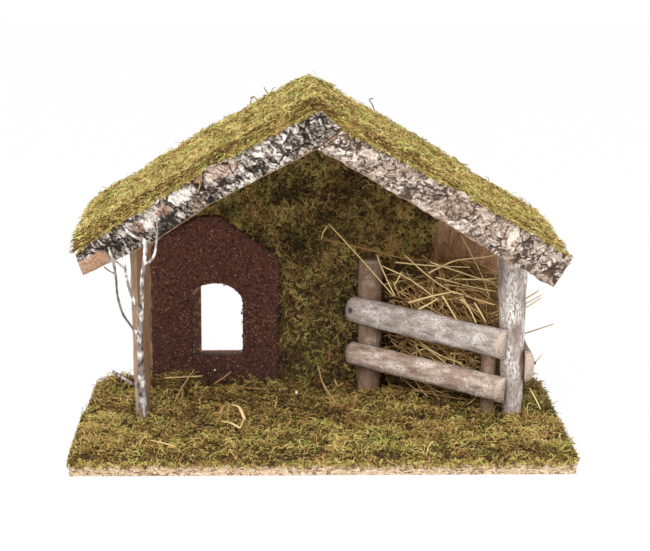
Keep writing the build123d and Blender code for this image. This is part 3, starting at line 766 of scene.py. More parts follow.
def leaf_flakes(rng, paths, normals, size):
    """Pointed leaves along the stems, to the left and right in turn. Gives points and faces."""
    count = len(paths)
    spot = np.linspace(0.35, STEM_RINGS - 1.02, LEAVES)
    step = spot.astype(int)
    share = (spot - step)[None, :, None]
    base = paths[:, step] * (1 - share) + paths[:, step + 1] * share
    ahead = unit(paths[:, step + 1] - paths[:, step])
    lift = np.broadcast_to(normals[:, None], ahead.shape)
    side = unit(np.cross(ahead, lift), TINY)
    lean = (0.85 + 0.3 * rng.normal(size=(count, LEAVES)))[..., None]
    hand = ((-1.0) ** np.arange(LEAVES))[None, :, None]
    tilt = (0.25 + 0.4 * rng.normal(size=(count, LEAVES)))[..., None]
    out = unit(np.cos(lean) * ahead + np.sin(lean) * hand * side + tilt * lift)
    wide = unit(np.cross(out, lift), TINY)
    thin = np.cross(wide, out)
    taper = np.linspace(1.25, 0.7, LEAVES)[None, :, None]
    reach = size[:, None, None] * taper * (0.6 + 0.8 * rng.random((count, LEAVES, 1)))
    heel = base + 0.2 * thin + 0.1 * out
    corners = [base + 0.32 * wide, base - 0.32 * wide, heel, base + reach * out]
    points = np.stack(corners, axis=2).reshape(-1, 3)
    return points, (np.arange(count * LEAVES)[:, None, None] * 4 + LEAF_FACES).reshape(-1, 3)


def leaf_cells(count):
    """Baking layout for leaves: each is unfolded to one triangle, and two share a cell."""
    net = np.array([[0, 0], [1, 0], [0, 1], [0.5, 0], [0.5, 0.5], [0, 0.5]])
    tris = net[[(5, 4, 2), (4, 3, 1), (3, 5, 0), (5, 3, 4)]].reshape(-1, 2)
    pair = np.stack([0.04 + 0.86 * tris, 0.96 - 0.86 * tris])
    grid = math.ceil(math.sqrt((count + 1) // 2))
    cell = np.arange(count) // 2
    origin = join(cell % grid, cell // grid).astype(float)
    return (origin[:, None] + pair[np.arange(count) % 2]).reshape(-1, 2) / grid


print("leaves of a sprig:", LEAVES, "with", len(LEAF_FACES), "triangles each")

# %% Sprigs as one piece
CURLY_EVERY = 8
STEM_SHARE, LEAF_START = 0.3, 0.31


def moss_sprigs(name, rng, roots, headings, normals, lengths, rise, curl, tint, dry, material):
    """Many sprigs as one piece: stems and leaves with their tints. Some are long bare curls."""
    count = len(roots)
    normals = np.broadcast_to(normals, roots.shape)
    curly = np.arange(count) % CURLY_EVERY == 0
    curl = np.where(curly, 1.1 * np.sign(curl) + curl, curl)
    tint = tint + 0.2 * rng.normal(size=count) + 0.25 * curly
    dry = np.where(rng.random(count) < 0.1, 0.9, dry + 0.25 * rng.normal(size=count))
    lengths, rise = lengths * np.where(curly, 1.5, 1.0), rise * np.where(curly, 1.3, 1.0)
    paths = stem_paths(roots, headings, normals, lengths, rise, curl)
    girth = np.where(curly, 0.34, 0.26) * (0.7 + 0.6 * rng.random(count))
    stems, stem_faces, stem_uvs = threads(paths, girth[:, None] * np.linspace(1.0, 0.35, STEM_RINGS))
    leaves, leaf_faces = leaf_flakes(rng, paths, normals, np.where(curly, 0.7, 1.55))
    leaf_tint = tint[:, None] + 0.19 * rng.normal(size=(count, LEAVES))
    stem_points, leaf_points = len(stems) // count, len(leaves) // count
    tips = np.repeat(np.linspace(0, 1, STEM_RINGS), stem_points // STEM_RINGS)
    leaf_tips = np.repeat(np.linspace(0, 1, LEAVES), leaf_points // LEAVES)
    leaf_tint = np.repeat(leaf_tint.ravel(), leaf_points // LEAVES)
    marks = {
        "tint": np.concatenate([np.repeat(tint - 0.1, stem_points), leaf_tint]),
        "tip": np.concatenate([np.tile(tips, count), np.tile(leaf_tips, count)]),
        "dry": np.concatenate([np.repeat(dry, stem_points), np.repeat(dry, leaf_points)]),
    }
    faces = stem_faces + [leaf_faces + len(stems)]
    leaf_uvs = (LEAF_START, 0.0) + leaf_cells(count * LEAVES) * (1 - LEAF_START, 1.0)
    uvs = np.concatenate([stem_uvs * (STEM_SHARE, 1.0), leaf_uvs])
    return make_piece(name, np.concatenate([stems, leaves]), faces, [material],
                      marks=marks, uvs=uvs, smooth=False)


print("every sprig in", CURLY_EVERY, "is a long bare curl")

# %% [markdown]
# ## Roof moss
# On the roof the moss was glued on in flat pads and pressed down. One sheet with a texture would
# look flat at the ridge and at the eaves, where it is seen from the side. So a mat follows each roof
# board from the ridge to a rounded eave, and three strips of sprigs lie on it, because one piece may
# hold only so many triangles. A short fringe leans out at the front and at the back.

# %% Height of the roof mat
roof_moss = finish_material("roof_moss", group_colour(
    FIBRE_TINT, shade=tone(84, 60, 14), body=tone(184, 160, 78), light=tone(244, 226, 152),
    patch_scale=45.0, patch_share=0.45, tip_share=0.25), 0.9)
MOSS_OVERHANG = {-1: 4.0, 1: 5.5}
MAT_THICKNESS = {-1: (10.4, 9.6), 1: (9.8, 6.9)}
RIDGE_CREST, RIDGE_BLEND, PRESSED = 2.4, 9.0, 1.6
ROOF_TUFTS = {side: Tufts(20 + side, (-3, ROOF_FRONT_Y - 3), (length + 8, ROOF_BACK_Y + 3), 7.0)
              for side, length in SLOPE_LENGTHS.items()}


def roof_point(side, along, y, above):
    """A point above a roof board. Close to the ridge it stands plumb, so that both sides meet."""
    blend = np.clip(along / RIDGE_BLEND, 0, 1)
    x = RIDGE_X + side * (along * math.cos(ROOF_DIP) + above * math.sin(ROOF_DIP) * blend)
    z = RIDGE_Z - along * math.sin(ROOF_DIP) + above * (math.cos(ROOF_DIP) + 0.12 * (1 - blend))
    return join(x, y, z)


def roof_mat_height(side, along, y):
    """How thick the mat is: tufts on a crowned layer that thins towards the eave and the front."""
    spot = join(along * side, y, 0.0)
    cushion = ROOF_TUFTS[side].around(along, y)[2]
    at_ridge, at_eave = MAT_THICKNESS[side]
    thick = at_ridge + (at_eave - at_ridge) * np.clip(along / 150.0, 0, 1) - PRESSED
    crown = 2.0 * np.sin(math.pi * np.clip(along / 130.0, 0, 1))
    thick = thick + RIDGE_CREST * np.exp(-(along / 12.0) ** 2) + crown
    thick = thick + 1.3 * cushion + 0.8 * lumps(spot, 13.0, 21) + 0.5 * lumps(spot, 4.0, 22)
    eave = np.clip((SLOPE_LENGTHS[side] + MOSS_OVERHANG[side] - along) / 10.0, 0, 1)
    front = np.clip((y - ROOF_FRONT_Y) / 9.0, 0, 1)
    return thick * np.sqrt(np.clip(eave, 0.02, 1)) * (0.42 + 0.58 * front)


ridge = np.zeros(1)
print("left mat at the ridge:", np.round(roof_mat_height(-1, ridge, ridge), 1), "mm")

# %% Roof mats
MAT_GRID = 120, 90
MAT_LIFT = 0.05


def build_roof_mat(side, name, seed):
    """The cushion of one roof side."""
    rng = np.random.default_rng(seed)
    length = SLOPE_LENGTHS[side] + MOSS_OVERHANG[side]
    down = np.linspace(0, length, MAT_GRID[0])
    over = np.linspace(ROOF_FRONT_Y, ROOF_BACK_Y, MAT_GRID[1])
    along, y = np.meshgrid(down, over, indexing="ij")
    top = roof_point(side, along, y, roof_mat_height(side, along, y))
    bottom = roof_point(side, along, y, MAT_LIFT + 0 * y)
    if side > 0:
        top, bottom = top[:, ::-1], bottom[:, ::-1]
    points, faces = slab(top[::-1], bottom[::-1], np.ones((MAT_GRID[0] - 1, MAT_GRID[1] - 1), bool))
    make_piece(name + "_mat", points, faces, [roof_moss], name,
               marks=mat_marks(rng, points, 16.0))


print("cells of a roof mat:", MAT_GRID)

# %% Roof sprigs
STRIP = (ROOF_BACK_Y - ROOF_FRONT_Y) / 3
FRONT_SEAM, BACK_SEAM = ROOF_FRONT_Y + STRIP, ROOF_BACK_Y - STRIP
# each strip: name, step of its seed, sprigs, fringe sprigs, from y, to y, y of its fringe
ROOF_STRIPS = (
    ("front", 1, 2500, 500, ROOF_FRONT_Y, FRONT_SEAM, ROOF_FRONT_Y),
    ("middle", 3, 2950, 0, FRONT_SEAM, BACK_SEAM, ROOF_FRONT_Y),
    ("back", 2, 2600, 400, BACK_SEAM, ROOF_BACK_Y + 1.0, ROOF_BACK_Y),
)


def build_roof_sprigs(side, name, seed, count, fringe, low_y, high_y, fringe_y):
    """Sprigs over a strip of one roof side, and a fringe along its outer edge."""
    rng = np.random.default_rng(seed)
    length = SLOPE_LENGTHS[side] + MOSS_OVERHANG[side]
    down = np.array([side * math.cos(ROOF_DIP), 0.0, -math.sin(ROOF_DIP)])
    normal = np.array([side * math.sin(ROOF_DIP), 0.0, math.cos(ROOF_DIP)])
    across = np.array([0.0, 1.0, 0.0])
    wander = 2.0 - 0.2 * side
    outer = np.sign(fringe_y - (ROOF_FRONT_Y + ROOF_BACK_Y) / 2)
    total = count + fringe
    along = length * rng.random(total)
    y = low_y + (high_y - low_y) * rng.random(total)
    y[count:] = fringe_y - outer * 2.5 * rng.random(fringe)
    own, away, cushion = ROOF_TUFTS[side].around(along, y)
    above = roof_mat_height(side, along, y) - 0.4
    above[count:] *= 0.35 + 0.65 * rng.random(fringe)
    roots = roof_point(side, along, y, above)
    swing = np.arctan2(wander * away[:, 1], wander * away[:, 0] + 2.2)
    swing = swing + 0.8 * wander * rng.normal(size=total)
    swing[count:] = outer * math.pi / 2 + 0.9 * rng.normal(size=fringe)
    headings = np.cos(swing)[:, None] * down + np.sin(swing)[:, None] * across
    lengths = 2.8 + 2.8 * rng.random(total)
    lengths[count:] *= 0.8
    lengths *= np.clip((length + 2.0 - along) / lengths, 0.35, 1.0)
    rise = np.abs(0.55 + 0.35 * rng.normal(size=total))
    rise[count:] = 0.35 * rng.normal(size=fringe) - 0.15
    curl = 1.7 * rng.normal(size=total)
    # A tuft's crown raises the tint, so the hollows between tufts get painted shade. The right side is
    # a little darker.
    tint = 0.33 - 0.05 * side + ROOF_TUFTS[side].tint[own] + 0.25 * cushion
    dry = ROOF_TUFTS[side].dry[own] - 0.05
    moss_sprigs(name, rng, roots, headings, normal, lengths, rise, curl, tint, dry, roof_moss)


for side, label, seed in ((-1, "left", 31), (1, "right", 34)):
    build_roof_mat(side, label + "_roof_moss", seed)
    for strip, step, *laid in ROOF_STRIPS:
        build_roof_sprigs(side, label + "_roof_sprigs_" + strip, seed + step, *laid)

# %% [markdown]
# ## Ground moss
# The base carries a bed of looser moss: clumps in olive, yellow green and dry brown, curled every
# way. A particle system could strew it, but it wouldn't know where posts and walls stand. So the
# mat is a height field that drops to a thin rim at the board's edge, with those places left open,
# and the sprigs take their height from it. They stand up more than on the roof.

# %% Ground finish and edges
ground_moss = finish_material("ground_moss", group_colour(
    FIBRE_TINT, shade=tone(60, 40, 8), body=tone(154, 129, 56), light=tone(230, 206, 126),
    patch_scale=38.0, patch_share=0.45, tip_share=0.25), 0.9)
GROUND_HALF = (BASE_HALF_WIDTH - 0.6, BASE_HALF_DEPTH - 0.6)


def settle(x, y):
    """Draw points in from the rear left edge, which the moss doesn't reach."""
    return np.where(x < 0, x * (1 - 0.022 * np.clip((y - 5) / 45.0, 0, 1)), x)


def edge_distance(x, y):
    """How far points lie inside the board's sides and inside its front and back."""
    return settle(GROUND_HALF[0] * np.sign(x), y) * np.sign(x) - np.abs(x), GROUND_HALF[1] - np.abs(y)


print("moss bed reaches", GROUND_HALF, "mm from the middle")

# %% Height of the ground
GROUND_TUFTS = Tufts(40, (-170, -90), (170, 90), 9.5)
RIM_WIDTH, LEAST_MOSS = 14.0, 0.9
WALL_FOOT_Y, WALL_FOOT_REACH = 64.0, 7.0
# each hump: its middle in x and y, its reach and its rise
HUMPS = [(-142.0, 72.0, 10.0, 5.5), (154.0, 60.0, 15.0, 6.0),
         (-104.0, 62.0, 15.0, 7.5), (-62.0, 64.0, 12.0, 3.0)]


def ground_height(x, y):
    """Top of the ground mat: tufts on a soft bed with a low rim, banked up along the wall."""
    spot = join(x, y, 0.0)
    bank = np.clip(np.minimum(*edge_distance(x, y)) / RIM_WIDTH, 0, 1)
    cushion = GROUND_TUFTS.around(x, y)[2]
    clumps = 1.6 * lumps(spot, 19.0, 41) + 3.0 * (cushion - 0.5) + 0.5 * lumps(spot, 3.0, 47)
    drift = 2.4 * np.exp(-((y - WALL_FOOT_Y) / WALL_FOOT_REACH) ** 2)
    for hump_x, hump_y, reach, rise in HUMPS:
        drift = drift + rise * np.exp(-((x - hump_x) ** 2 + (y - hump_y) ** 2) / reach ** 2)
    bed = 2.2 + 3.2 * np.sqrt(np.clip(bank, 0.01, 1))
    thick = bed + (0.4 + 0.6 * bank) * clumps + np.sqrt(bank) * drift
    return BASE_TOP + np.maximum(thick, LEAST_MOSS)


middle = np.zeros(1)
print("moss in the middle of the base:", np.round(ground_height(middle, middle), 1), "mm")

# %% Ground mat around what stands on it
# each post or twig: its x, y and radius
STANDING = [(-121.0, -1.0, 6.5), (133.8, 5.0, 7.0), (37.0, 57.0, 8.8), (117.2, 7.7, 5.3),
            (-121.4, -14.0, 3.3)]
# back wall and panel: their middle in y, then from where to where in x
UPRIGHT = ((78.0, -127.3, 141.1), (70.0, -121.3, -27.0))
UPRIGHT_ROOM = 4.3
GROUND_GRID = 220, 114


def ground_is_free(x, y, room=0.0):
    """True where nothing stands on the base."""
    free = np.ones(np.shape(x), bool)
    for wall_y, low_x, high_x in UPRIGHT:
        beside = np.abs(y - wall_y) < UPRIGHT_ROOM + room
        free &= ~(beside & (x > low_x - room) & (x < high_x + room))
    for post_x, post_y, radius in STANDING:
        free &= np.hypot(x - post_x, y - post_y) > radius + room
    return free


def build_ground_mat():
    """The bed of moss on the base, open where something stands."""
    rng = np.random.default_rng(43)
    steps = [np.linspace(-half, half, count) for half, count in zip(GROUND_HALF, GROUND_GRID)]
    x, y = np.meshgrid(*steps, indexing="ij")
    x = settle(x, y)
    top = join(x, y, ground_height(x, y))
    bottom = join(x, y, BASE_TOP + MAT_LIFT)
    middle = (top[:-1, :-1] + top[1:, 1:]) / 2
    keep = ground_is_free(middle[..., 0], middle[..., 1])
    points, faces = slab(top.transpose(1, 0, 2), bottom.transpose(1, 0, 2), keep.T)
    make_piece("ground_moss_mat", points, faces, [ground_moss], "base_moss",
               marks=mat_marks(rng, points, 12.0))


build_ground_mat()

# %% Ground sprigs
GROUND_TRIES = 3300
ROOFED_HALF, ROOFED_FRONT = 132, -40


def build_ground_sprigs(name, seed, low_x, high_x):
    """Sprigs of one strip of the ground, thinned out in the hollows between tufts."""
    rng = np.random.default_rng(seed)
    x = low_x + (high_x - low_x) * rng.random(GROUND_TRIES)
    y = GROUND_HALF[1] * (2 * rng.random(GROUND_TRIES) - 1)
    x = settle(x, y)
    own, away, cushion = GROUND_TUFTS.around(x, y)
    kept = ground_is_free(x, y, 0.6) & (rng.random(GROUND_TRIES) < 0.6 + 0.6 * cushion)
    x, y, own, away, cushion = x[kept], y[kept], own[kept], away[kept], cushion[kept]
    count = len(x)
    roots = join(x, y, ground_height(x, y) - 0.5)
    swing = np.arctan2(away[:, 1], away[:, 0]) + 1.4 * rng.normal(size=count)
    headings = join(np.cos(swing), np.sin(swing), 0.0)
    lengths = 2.8 + 3.8 * rng.random(count)
    side_edge, front_edge = edge_distance(x, y)
    edge = np.minimum(side_edge, front_edge)
    to_side, to_front = join(np.sign(x), 0.0, 0.0), join(0.0, np.sign(y), 0.0)
    outward = np.where((side_edge < front_edge)[:, None], to_side, to_front)
    leaving = (headings * outward).sum(axis=1) > 0
    overhang = np.where(x > 0, 3.0, 0.3)
    lengths = np.where((edge < lengths) & leaving, np.maximum(2.2, edge + overhang), lengths)
    rise = np.abs(0.7 + 0.5 * cushion + 0.6 * rng.normal(size=count))
    curl = 1.8 * rng.normal(size=count)
    # Painted shade: under the roof the tint drops, more towards the wall, and the sprigs there are
    # browner. A low cushion also lowers the tint, as painted shade in the hollows between tufts.
    roofed = (np.abs(x) < ROOFED_HALF) & (y > ROOFED_FRONT)
    shaded = roofed * (0.15 + 0.15 * np.clip((y - 20) / 45, 0, 1))
    tint = 0.27 + 1.15 * GROUND_TUFTS.tint[own] + 0.32 * cushion - shaded
    dry = GROUND_TUFTS.dry[own] + 0.15 * roofed
    moss_sprigs(name, rng, roots, headings, UP, lengths, rise, curl, tint, dry, ground_moss)


GROUND_STRIPS = np.linspace(-GROUND_HALF[0], GROUND_HALF[0], 7)
for strip, (low_x, high_x) in enumerate(zip(GROUND_STRIPS[:-1], GROUND_STRIPS[1:])):
    build_ground_sprigs("ground_sprigs_%d" % (strip + 1), 45 + strip, low_x, high_x)

# %% Sprigs over the board's edge
def build_rim_sprigs(name, seed, count):
    """Short sprigs that hang over the board's edge all round."""
    rng = np.random.default_rng(seed)
    half = np.array(GROUND_HALF)
    round_way = 4 * half.sum() * rng.random(count)
    on_front = round_way < 4 * half[0]
    side = np.where(rng.random(count) < 0.5, -1.0, 1.0)
    free_share = 2 * rng.random(count) - 1
    x = np.where(on_front, half[0] * free_share, side * half[0])
    y = np.where(on_front, side * half[1], half[1] * free_share)
    outward = np.where(on_front[:, None], join(0.0, side, 0.0), join(side, 0.0, 0.0))
    x = settle(x, y)
    z = BASE_TOP - 0.4 + (ground_height(x, y) - BASE_TOP + 0.4) * rng.random(count)
    swing = rng.normal(size=count)
    beside = np.cross(outward, UP) * np.sign(swing)[:, None]
    sink = 0.35 * np.abs(np.sin(swing))[:, None] * UP
    headings = unit(np.cos(0.8 * swing)[:, None] * beside - sink)
    tint = 0.45 + 0.2 * rng.normal(size=count)
    lengths = 2.2 + 2.6 * rng.random(count)
    rise = np.abs(0.3 + 0.2 * rng.normal(size=count))
    curl = 1.3 * rng.normal(size=count)
    dry = 0.4 * rng.normal(size=count)
    moss_sprigs(name, rng, join(x, y, z) + 0.9 * outward, headings, outward, lengths, rise, curl,
                tint, dry, ground_moss)


build_rim_sprigs("rim_sprigs", 55, 2600)

# %% [markdown]
# ## Window panel
# The panel with the window is rough cast: a board covered with dark red-brown grit. A boolean could
# cut the window, but leaves long thin faces that don't take relief well. So the front is built as
# rings between the window's outline and the panel's own outline, and the opening needs no cutting.
# Small grains of many sizes are scattered over it as separate low stones.

# %% Outlines of the panel and rays to them
NEARLY = 1e-6
WINDOW_MIDDLE = np.array([-72.8, 62.0])
WINDOW = {"left": -91.0, "right": -54.6, "sill": 37.0, "spring": 81.4, "rise": 9.5, "drop": 5.0}
PANEL_OUTLINE = np.array([
    (-121, 8), (-28.6, 8), (-27.6, 95), (-27.6, 104), (-29, 109.5), (-32.5, 113.5), (-49, 125.3),
    (-65, 137), (-69.5, 140), (-76, 141.3), (-85, 140.4), (-92, 137.6), (-106, 129.3), (-121, 116.5),
])


def window_outline():
    """Window corners and the arch over them, from the right spring round."""
    left, right, sill = WINDOW["left"], WINDOW["right"], WINDOW["sill"]
    middle, half = (left + right) / 2, (right - left) / 2
    turn = np.linspace(0, math.pi, 15)
    drop = WINDOW["drop"] * np.clip(np.cos(turn), 0, 1) ** 2
    top = WINDOW["spring"] + WINDOW["rise"] * np.sin(turn) ** 0.8 - drop
    return np.concatenate([join(middle + half * np.cos(turn), top), [(left, sill), (right, sill)]])


def ray_hits(outline, centre, turns):
    """Where rays from the centre leave a closed outline."""
    first = outline - centre
    edge = np.roll(first, -1, axis=0) - first
    hits = []
    for turn in turns:
        ray = np.array([math.cos(turn), math.sin(turn)])
        bottom = ray[0] * edge[:, 1] - ray[1] * edge[:, 0]
        bottom = np.where(np.abs(bottom) < TINY, TINY, bottom)
        reach = (first[:, 0] * edge[:, 1] - first[:, 1] * edge[:, 0]) / bottom
        share = (first[:, 0] * ray[1] - first[:, 1] * ray[0]) / bottom
        good = (reach > 0) & (share >= -NEARLY) & (share <= 1 + NEARLY)
        hits.append(centre + ray * reach[good].max())
    return np.array(hits)


print("panel above the window:", np.round(ray_hits(PANEL_OUTLINE, WINDOW_MIDDLE, [math.pi / 2]), 1))

# %% Grit finish
def grit_colour(tree):
    """Dark grit with a few light grains, and painted shade that darkens the foot of the panel."""
    grit = use_group(tree, SPECKLE, ground=tone(104, 60, 48), speck=tone(60, 35, 28),
                     scale=420.0, threshold=0.45, softness=0.2)
    light = use_group(tree, SPECKLE, ground=grit["Color"], speck=tone(176, 130, 104),
                      scale=900.0, threshold=0.63, softness=0.05)
    pale = spread(tree, mark(tree, "tint"), 0.0, 1.0)
    loose = mix(tree, pale, light["Color"], tone(196, 146, 116))
    cloud = sums(tree, "SUBTRACT", grain_noise(tree, 60.0), 0.5)
    # Painted shade: the grit is multiplied darker from about 115 mm down to the panel's foot, with a
    # cloudy edge.
    painted_shade_level = sums(tree, "ADD", own_height(tree), sums(tree, "MULTIPLY", cloud, 0.1))
    dull = mix(tree, spread(tree, painted_shade_level, 0.115, 0.02), loose, tone(196, 192, 188), "MULTIPLY")
    return {"colour": dull, "height": grit["Mask"]}


red_granulate = finish_material("red_granulate", grit_colour, 0.92, 0.4, 0.0008)
print("finish:", red_granulate.name)

# %% Panel
PANEL_TURNS, PANEL_RINGS = 300, 44
FACE_DEPTH, PANEL_FOOT = 7.4, 9


def build_panel():
    """The panel as rings of faces from the window's outline to its own, front and back."""
    turns = np.linspace(0, 2 * math.pi, PANEL_TURNS, endpoint=False)
    inner = ray_hits(window_outline(), WINDOW_MIDDLE, turns)
    outer = ray_hits(PANEL_OUTLINE, WINDOW_MIDDLE, turns)
    ragged = lumps(join(outer[:, 0], outer[:, 1], 0.0), 4.0, 52)[:, None]
    outward = unit(outer - WINDOW_MIDDLE)
    outer = outer + outward * (0.7 * ragged - 0.7) * (outer[:, 1:] > PANEL_FOOT)
    shares = np.concatenate([[0.0, 0.0, 0.0], np.linspace(0.0, 1.0, PANEL_RINGS), [1.0, 1.0]])
    depths = np.concatenate([[0.0, 2.7, 5.4], np.full(PANEL_RINGS, FACE_DEPTH), [4.0, 0.0]])
    flat = inner[:, None] + (outer - inner)[:, None] * shares[None, :, None]
    spot = join(flat[..., 0], WALL_FRONT_Y - depths, flat[..., 1])
    bump = 0.55 * lumps(spot, 6.0, 53) + 0.45 * lumps(spot, 2.4, 54)
    rim = np.clip(np.minimum(shares, 1 - shares) / 0.06, 0, 1)[None, :]
    spot[..., 1] -= np.where(depths == FACE_DEPTH, bump - 1.2 * (1 - rim), 0)
    index = np.arange(spot[..., 0].size).reshape(spot.shape[:2])
    after = np.roll(index, -1, axis=0)
    quads = join(index, np.roll(index, -1, axis=1), np.roll(after, -1, axis=1), after)
    make_piece("window_panel", spot, [quads.reshape(-1, 4)], [red_granulate],
               "window_facade")
    return spot


panel = build_panel()

# %% Grit on the panel
GRAIN_POINTS = np.array([(1, 0, 0), (-1, 0, 0), (0, 1, 0), (0, -1, 0), (0, 0, 1), (0, 0, -1)], float)
GRAIN_FACES = np.array([(0, 2, 4), (2, 1, 4), (1, 3, 4), (3, 0, 4),
                        (2, 0, 5), (1, 2, 5), (3, 1, 5), (0, 3, 5)])


def build_grit(panel, grains):
    """Small eight-sided stones of many sizes on the panel's front, a few of them pale."""
    rng = np.random.default_rng(51)
    corners = len(GRAIN_POINTS)
    pick = rng.integers(0, panel.shape[0], grains), rng.integers(4, 46, grains)
    centres = panel[pick] + rng.normal(size=(grains, 3)) * (0.8, 0.12, 0.8)
    size = (0.35 + 0.6 * rng.random(grains) ** 2)[:, None, None]
    size = size * (0.75 + 0.5 * rng.random((grains, corners, 1)))
    points = centres[:, None] + GRAIN_POINTS[None] * size
    tris = (np.arange(grains)[:, None, None] * corners + GRAIN_FACES[None]).reshape(-1, 3)
    pale = np.clip(1.3 * rng.random(grains) ** 4 - 0.1, 0, 1)
    make_piece("panel_grit", points, [tris], [red_granulate],
               marks={"tint": np.repeat(pale, corners)}, smooth=False)


build_grit(panel, 6500)

# %% [markdown]
# ## Moss on the wall
# Behind the stable the wall is lined with dark moss, beside and above the window panel. Turning a
# copy of the ground moss upright would repeat its tufts in view, so it is grown anew in the same
# way: cells are kept where the wall is free, and the sprigs point every way along the wall.

# %% Where the wall carries moss
wall_moss = finish_material("wall_moss", group_colour(
    FIBRE_TINT, shade=tone(48, 33, 8), body=tone(126, 104, 44), light=tone(226, 198, 122),
    patch_scale=40.0, patch_share=0.5, tip_share=0.25), 0.9)
MOSS_WALL_LEFT, MOSS_WALL_RIGHT = -112.0, 88.0


def inside_outline(outline, x, z):
    """True for points within a closed outline."""
    inside = np.zeros(np.shape(x), bool)
    for (x0, z0), (x1, z1) in zip(outline, np.roll(outline, -1, axis=0)):
        crosses = (z0 > z) != (z1 > z)
        inside ^= crosses & (x < (x1 - x0) * (z - z0) / ((z1 - z0) or TINY) + x0)
    return inside


def wall_border(x, z):
    """How far points lie left of the moss's ragged border on the wall."""
    return MOSS_WALL_RIGHT - 6.0 + 7.0 * lumps(join(0.0, 0.0, z), 13.0, 61) - x


def wall_is_free(x, z):
    """True where the wall carries moss."""
    free = (x > MOSS_WALL_LEFT) & (wall_border(x, z) > 0) & (z < soffit_height(x) - 0.6)
    return free & ~inside_outline(PANEL_OUTLINE, x, z) & ~((x < -60.0) & (z < 110.0))


print("moss on the wall from", MOSS_WALL_LEFT, "to", MOSS_WALL_RIGHT, "mm")

# %% Wall mat
WALL_TUFTS = Tufts(60, (-118, 8), (86, 222), 9.0)
WALL_GRID = 110, 104


def wall_mat_depth(x, z):
    """How far the mat stands out from the wall."""
    spot = join(x, 0.0, z)
    thick = 2.0 + 0.7 * lumps(spot, 12.0, 62) + 1.8 * WALL_TUFTS.around(x, z)[2]
    return thick * np.clip(wall_border(x, z) / 10.0, 0.15, 1)


def build_wall_mat():
    """The dark cushion on the wall, open where the panel stands."""
    rng = np.random.default_rng(64)
    up = np.linspace(14.0, 218.0, WALL_GRID[0])
    across = np.linspace(MOSS_WALL_LEFT, MOSS_WALL_RIGHT, WALL_GRID[1])
    z, x = np.meshgrid(up, across, indexing="ij")
    front = join(x, WALL_FRONT_Y - wall_mat_depth(x, z), z)
    back = join(x, WALL_FRONT_Y - MAT_LIFT, z)
    middle = (front[:-1, :-1] + front[1:, 1:]) / 2
    points, faces = slab(front, back, wall_is_free(middle[..., 0], middle[..., 2]))
    make_piece("wall_moss_mat", points, faces, [wall_moss], "back_wall_moss",
               marks=mat_marks(rng, points, 14.0))


build_wall_mat()

# %% Wall sprigs
TO_FRONT = (0.0, -1.0, 0.0)
# each band: from and to which height, and how many sprigs are tried
WALL_BANDS = ((14.0, 80.0, 4600), (80.0, 122.0, 4600), (122.0, 152.0, 3400), (152.0, 218.0, 5200))


def build_wall_sprigs(name, seed, low_z, high_z, tries):
    """Sprigs over a band of the wall."""
    rng = np.random.default_rng(seed)
    x = MOSS_WALL_LEFT + (MOSS_WALL_RIGHT - MOSS_WALL_LEFT) * rng.random(tries)
    z = low_z + (high_z - low_z) * rng.random(tries)
    free = wall_is_free(x, z)
    x, z = x[free], z[free]
    count = len(x)
    own, away, cushion = WALL_TUFTS.around(x, z)
    roots = join(x, WALL_FRONT_Y - wall_mat_depth(x, z) + 0.5, z)
    swing = np.arctan2(away[:, 1], away[:, 0]) + 1.3 * rng.normal(size=count)
    headings = join(np.cos(swing), 0.0, np.sin(swing))
    lengths = 2.8 + 3.6 * rng.random(count)
    lengths = np.minimum(lengths, np.maximum(1.5, 0.6 * (soffit_height(x) - z)))
    rise = np.abs(0.55 + 0.4 * rng.normal(size=count))
    curl = 1.6 * rng.normal(size=count)
    # The tint rises from 120 to 180 mm up the wall. A tuft's crown raises it too, so the hollows
    # between tufts get painted shade.
    lighter = 0.16 * np.clip((z - 120) / 60, 0, 1)
    tint = 0.2 + lighter + 1.2 * WALL_TUFTS.tint[own] + 0.28 * cushion
    moss_sprigs(name, rng, roots, headings, TO_FRONT, lengths, rise, curl, tint, WALL_TUFTS.dry[own],
                wall_moss)


for band, given in enumerate(WALL_BANDS):
    build_wall_sprigs("wall_sprigs_%d" % (band + 1), 65 + band, *given)

# %% [markdown]
# ## Skins for logs and bark slabs
# Posts, rails and bark boards are long skins: a row of sections from one end to the other, each a
# closed loop of points, with a fan of faces over both ends. A cylinder with a displacement would do
# for a round log, but not for a split one. The ends carry a ring mark that runs from 0 in the middle
# to 1 at the rim, from which the finish draws growth rings.

# %% Long skins
def long_skin(sections):
    """Skin a row of closed sections (rows, columns, 3) and close both ends with fans."""
    rows, columns = sections.shape[:2]
    low, high = rows * columns, rows * columns + 1
    index = np.arange(low).reshape(rows, columns)
    after = np.roll(index, -1, axis=1)
    quads = join(index[:-1], after[:-1], after[1:], index[1:]).reshape(-1, 4)
    fans = np.concatenate([join(after[0], index[0], low), join(index[-1], after[-1], high)])
    ends = sections[[0, -1]].mean(axis=1)
    points = np.concatenate([sections.reshape(-1, 3), ends])
    ring = np.append(np.ones(low), [0, 0])
    column = np.tile(np.arange(columns), rows - 1)
    return points, [quads, fans], ring, column


print("points of a skin of 2 sections of 4:", len(long_skin(np.zeros((2, 4, 3)))[0]))

# %% Finishes of sawn wood
def cut_end_colour(tree):
    """Pale end grain with uneven growth rings and a few darker spots."""
    ring = sums(tree, "MULTIPLY", mark(tree, "ring"), 22.0)
    ring = sums(tree, "ADD", ring, sums(tree, "MULTIPLY", grain_noise(tree, 160.0), 6.0))
    wave = sums(tree, "SINE", ring, 0.0)
    wood = mix(tree, spread(tree, wave, -1.0, 1.0), tone(188, 166, 147), tone(214, 197, 180))
    made = use_group(tree, SPECKLE, ground=wood, speck=tone(150, 112, 84),
                     scale=420.0, threshold=0.6, softness=0.12)
    return {"colour": made["Color"], "height": wave}


